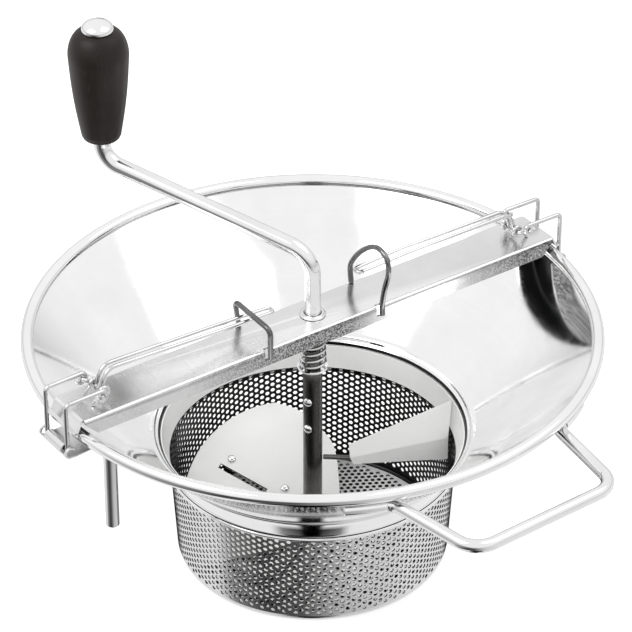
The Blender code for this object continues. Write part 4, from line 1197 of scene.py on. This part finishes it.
def lever_path(side, tip_x, tip_y, tip_z):
    """The lever: crank pin, crank web, pivot and the long double arm out to the tip."""
    def half(sign):
        web = sign * WEB_Y
        arm = sign * LEVER_Y
        return [
            (CRANK_PIN_X, sign * (BAIL_Y + 2.1 * MM), CRANK_PIN_Z),
            (CRANK_PIN_X, web, CRANK_PIN_Z),
            (PIVOT_X, web, PIVOT_Z),
            (PIVOT_X, arm, PIVOT_Z),
            (LEVER_KNEE[0], arm + tip_y * 0.1, LEVER_KNEE[1]),
            (LEVER_MID_X, sign * 3.3 * MM + tip_y * 0.7, LEVER_MID_Z + (tip_z - RIM_Z) * 0.8),
            (tip_x + 3 * MM, sign * 2.9 * MM + tip_y, tip_z),
        ]
    radii_in = (1.9 * MM, 1.9 * MM, 1.9 * MM, LEVER_KNEE_R, 60 * MM)
    nose = [(tip_x, 2.2 * MM + tip_y, tip_z), (tip_x, -2.2 * MM + tip_y, tip_z)]
    corners = half(1) + nose + half(-1)[::-1]
    radii = radii_in + (2 * MM, 1.6 * MM, 1.6 * MM, 2 * MM) + radii_in[::-1]
    return mirrored(rounded(corners, radii, 9), side)


def make_bail(side, label):
    """A square wire loop: an eye on each crank pin, two arms, two legs and the bar in the catch."""
    radius = LOOP_INNER_R + BAIL_WIRE_R
    eye = loop(CRANK_PIN_X, CRANK_PIN_Z, radius, -BAIL_Y, 360, 90, 36)
    top = CRANK_PIN_Z + radius
    arm = [(CRANK_PIN_X, -BAIL_Y, top), (BAIL_X, -BAIL_Y, top - 0.6 * MM), (BAIL_X, -BAIL_Y, CATCH_Z),
           (BAIL_X, 0, CATCH_Z)]
    leg = rounded(arm, (3 * MM, 2.2 * MM), 8)
    path = mirrored(across(eye + leg[1:-1]), side)
    body = "bail_%s_set" % label
    wire("bail_" + label, path, BAIL_WIRE_R, WIRE_STEEL, body, "latch_bail_" + label)


def make_catch(side, label):
    """Sheet bracket under the dish, rolled into a hook outside the rim, slotted for the bail's legs."""
    outer_r = CATCH_INNER_R + CATCH_SHEET
    centre = (BAIL_X, CATCH_Z)
    outside = arc(centre, outer_r, -100, 150, 32)
    inside = arc(centre, CATCH_INNER_R, 150, -100, 28)
    plate_low = CATCH_Z - outer_r
    seat = CATCH_SEAT
    tail = (seat[0] - CATCH_TAIL * math.cos(LEAN), seat[1] - CATCH_TAIL * math.sin(LEAN))
    drop = (CATCH_SHEET * math.sin(LEAN), -CATCH_SHEET * math.cos(LEAN))
    low_side = [(tail[0] + drop[0], tail[1] + drop[1]), (seat[0] + drop[0], seat[1] + drop[1]),
                (BAIL_X - 4 * MM, plate_low - 0.2 * MM)]
    high_side = [(BAIL_X - 4 * MM, plate_low + CATCH_SHEET - 0.2 * MM), seat, tail]
    outline = low_side + outside + inside + high_side
    made = upright_plate("hook_" + label, outline, 2 * CATCH_HALF_WIDTH, side, BAR_STEEL)
    for sign in (1, -1):
        y = sign * BAIL_Y
        low = (side * BAIL_X - 9 * MM, y - 2.2 * MM, CATCH_Z)
        change(made, block(low, (side * BAIL_X + 9 * MM, y + 2.2 * MM, RIM_Z)))
    eased(made, 0.2 * MM)
    piece(made, "bowl_set", "catch_" + label)


def make_latches():
    for side, label in ((1, "right"), (-1, "left")):
        make_eye_wire(side, label)
        make_bail(side, label)
        make_catch(side, label)
    right = lever_path(1, LEVER_RIGHT_TIP, 0, LEVER_RIGHT_Z)
    wire("lever_right", right, LEVER_WIRE_R, WIRE_STEEL, "lever_right_set", "latch_lever_right")
    left = lever_path(-1, LEVER_LEFT_TIP, LEVER_LEFT_ASIDE, LEVER_LEFT_Z)
    wire("lever_left", left, LEVER_WIRE_R, WIRE_STEEL, "lever_left_set", "latch_lever_left")


# ---------- handle and legs

def make_handle():
    """One rod: its ends follow the rim's underside, and it stands out as a U."""
    ends = []
    for i in range(13):
        angle = -math.pi / 2 - HANDLE_HALF_ANGLE + (HANDLE_HALF_ANGLE - HANDLE_ROOT_ANGLE) * i / 12
        ends.append(polar(HANDLE_SEAT_R, angle, HANDLE_Z))
    left = ends[:-1] + rounded(
        [ends[-2], ends[-1], (-HANDLE_OUT_X, HANDLE_OUT_Y, HANDLE_Z), (0, HANDLE_OUT_Y, HANDLE_Z)],
        (7 * MM, HANDLE_BEND), 4)[1:-1]
    right = mirrored(left[::-1], -1)
    turn = Matrix.Rotation(HANDLE_TURN, 3, "Z")
    path = [turn @ Vector(p) for p in left + right]
    wire("carry_handle", path, HANDLE_R, ROD_STEEL, "bowl_set", "carrying_handle", 28)


def make_leg(side, label):
    """A straight rod, its top cut to the slope of the dish."""
    sides = 32
    drop = (SHEET / 2 + GAP * 1.5) / math.cos(LEAN)
    rings = []
    for share, z in ((0.85, LEG_LOW_Z), (1.0, LEG_LOW_Z + 0.6 * MM), (1.0, None)):
        ring = []
        for k in range(sides):
            offset = polar(LEG_R * share, 2 * math.pi * k / sides)
            x = side * LEG_X + offset.x
            top = RIM_Z - (RIM_R - abs(x)) * math.tan(LEAN) - drop
            ring.append((x, offset.y, top if z is None else z))
        rings.append(ring)
    # painted shade: the legs take a darker copy of the rod steel
    leg = solid("leg_" + label, [v for ring in rings for v in ring], joined(len(rings), sides), LEG_SHADE_STEEL)
    piece(leg, "bowl_set", "support_leg_" + label)


# ---------- studio

CAMERA_AZIMUTH = math.radians(-35)
CAMERA_ELEVATION = math.radians(34.05)
CAMERA_DISTANCE = 2.15
CAMERA_LENS = 192.8
CAMERA_SHIFT = (0.0053, 0.0210)


def from_camera(azimuth, elevation):
    """Direction from the object towards a viewer at that azimuth and elevation."""
    flat = math.cos(elevation)
    return Vector((math.sin(azimuth) * flat, -math.cos(azimuth) * flat, math.sin(elevation)))


def aimed(made, azimuth, elevation, distance):
    """Stands a camera or a lamp at that distance from the middle of the dish, looking at it."""
    back = from_camera(azimuth, elevation)
    made.location = Vector((0, 0, RIM_Z)) + back * distance
    made.rotation_euler = (-back).to_track_quat("-Z", "Y").to_euler()


def make_camera():
    data = bpy.data.cameras.new("camera")
    data.lens = CAMERA_LENS
    data.sensor_width = 36
    data.shift_x, data.shift_y = CAMERA_SHIFT
    camera = link(bpy.data.objects.new("camera", data))
    aimed(camera, CAMERA_AZIMUTH, CAMERA_ELEVATION, CAMERA_DISTANCE)
    bpy.context.scene.camera = camera


def make_floor():
    size = 30.0
    verts = [(-size, -size, 0), (size, -size, 0), (size, size, 0), (-size, size, 0)]
    mesh = bpy.data.meshes.new("floor")
    mesh.from_pydata([(x, y, -0.3 * MM) for x, y, _ in verts], [], [(0, 1, 2, 3)])
    mesh.materials.append(pale_floor())
    floor = link(bpy.data.objects.new("floor", mesh))
    floor.visible_glossy = False


def make_world():
    """A white studio: dark low round the room, and dark below on the side away from the camera."""
    world = bpy.data.worlds.new("studio")
    bpy.context.scene.world = world
    room = Tree(world, "Generated")
    height = room.parts()["Z"]
    across = room.span(room.along(from_camera(CAMERA_AZIMUTH + math.pi / 2, 0)), 0, 1, -1, 1)
    towards = room.along(from_camera(CAMERA_AZIMUTH, 0))
    away = room.along(-from_camera(CAMERA_AZIMUTH, CAMERA_ELEVATION))
    above = room.ramp(height, ((0.0, 0.62), (0.10, 0.75), (0.25, 0.93), (0.42, 1.0)))
    far_below = room.ramp(across, ((0.0, 0.95), (0.458, 0.9), (0.472, 0.0), (0.520, 0.0), (0.534, 0.9),
                                   (1.0, 0.95)))
    near_side = room.ramp(across, ((0.0, 0.60), (0.10, 0.35), (0.25, 0.06), (0.45, 0.10), (0.72, 0.70),
                                   (1.0, 0.90)))
    near_low = room.ramp(across, ((0.0, 0.85), (0.37, 0.85), (0.40, 0.0), (0.59, 0.0), (0.62, 0.85),
                                  (1.0, 0.95)))
    near_below = room.mix(room.span(height, 0, 1, -0.84, -0.78), near_low, near_side)
    below = room.mix(room.span(towards, 0, 1, 0.0, 0.2), far_below, near_below)
    shade = room.mix(room.span(height, 0, 1, -0.06, 0.0), below, above)
    shade = room.mix(room.span(away, 0, 1, 0.90, 0.965), shade, grey(0.0))
    seen = room.add("LightPath").outputs["Is Camera Ray"]
    background = room.tree.nodes["Background"]
    room.feed(background, {"Color": room.mix(seen, shade, grey(1.0)), "Strength": 1.0})


def make_lights():
    for name, azimuth, elevation, distance, size, power in (
            ("key", -100, 52, 1.6, 0.9, 8), ("fill", 60, 60, 1.8, 1.2, 5)):
        data = bpy.data.lights.new(name, "AREA")
        data.size = size
        data.energy = power
        lamp = link(bpy.data.objects.new(name, data))
        aimed(lamp, math.radians(azimuth), math.radians(elevation), distance)


make_camera()
make_floor()
make_world()
make_lights()
bpy.context.scene.view_settings.view_transform = "Standard"
make_dish()
make_drum_wall()
make_drum_floor()
make_bar()
make_shaft_ring()
make_crank()
make_grip()
make_spring()
make_sleeve()
make_blade()
make_wing()
make_hoops()
make_latches()
make_handle()
make_leg(1, "right")
make_leg(-1, "left")
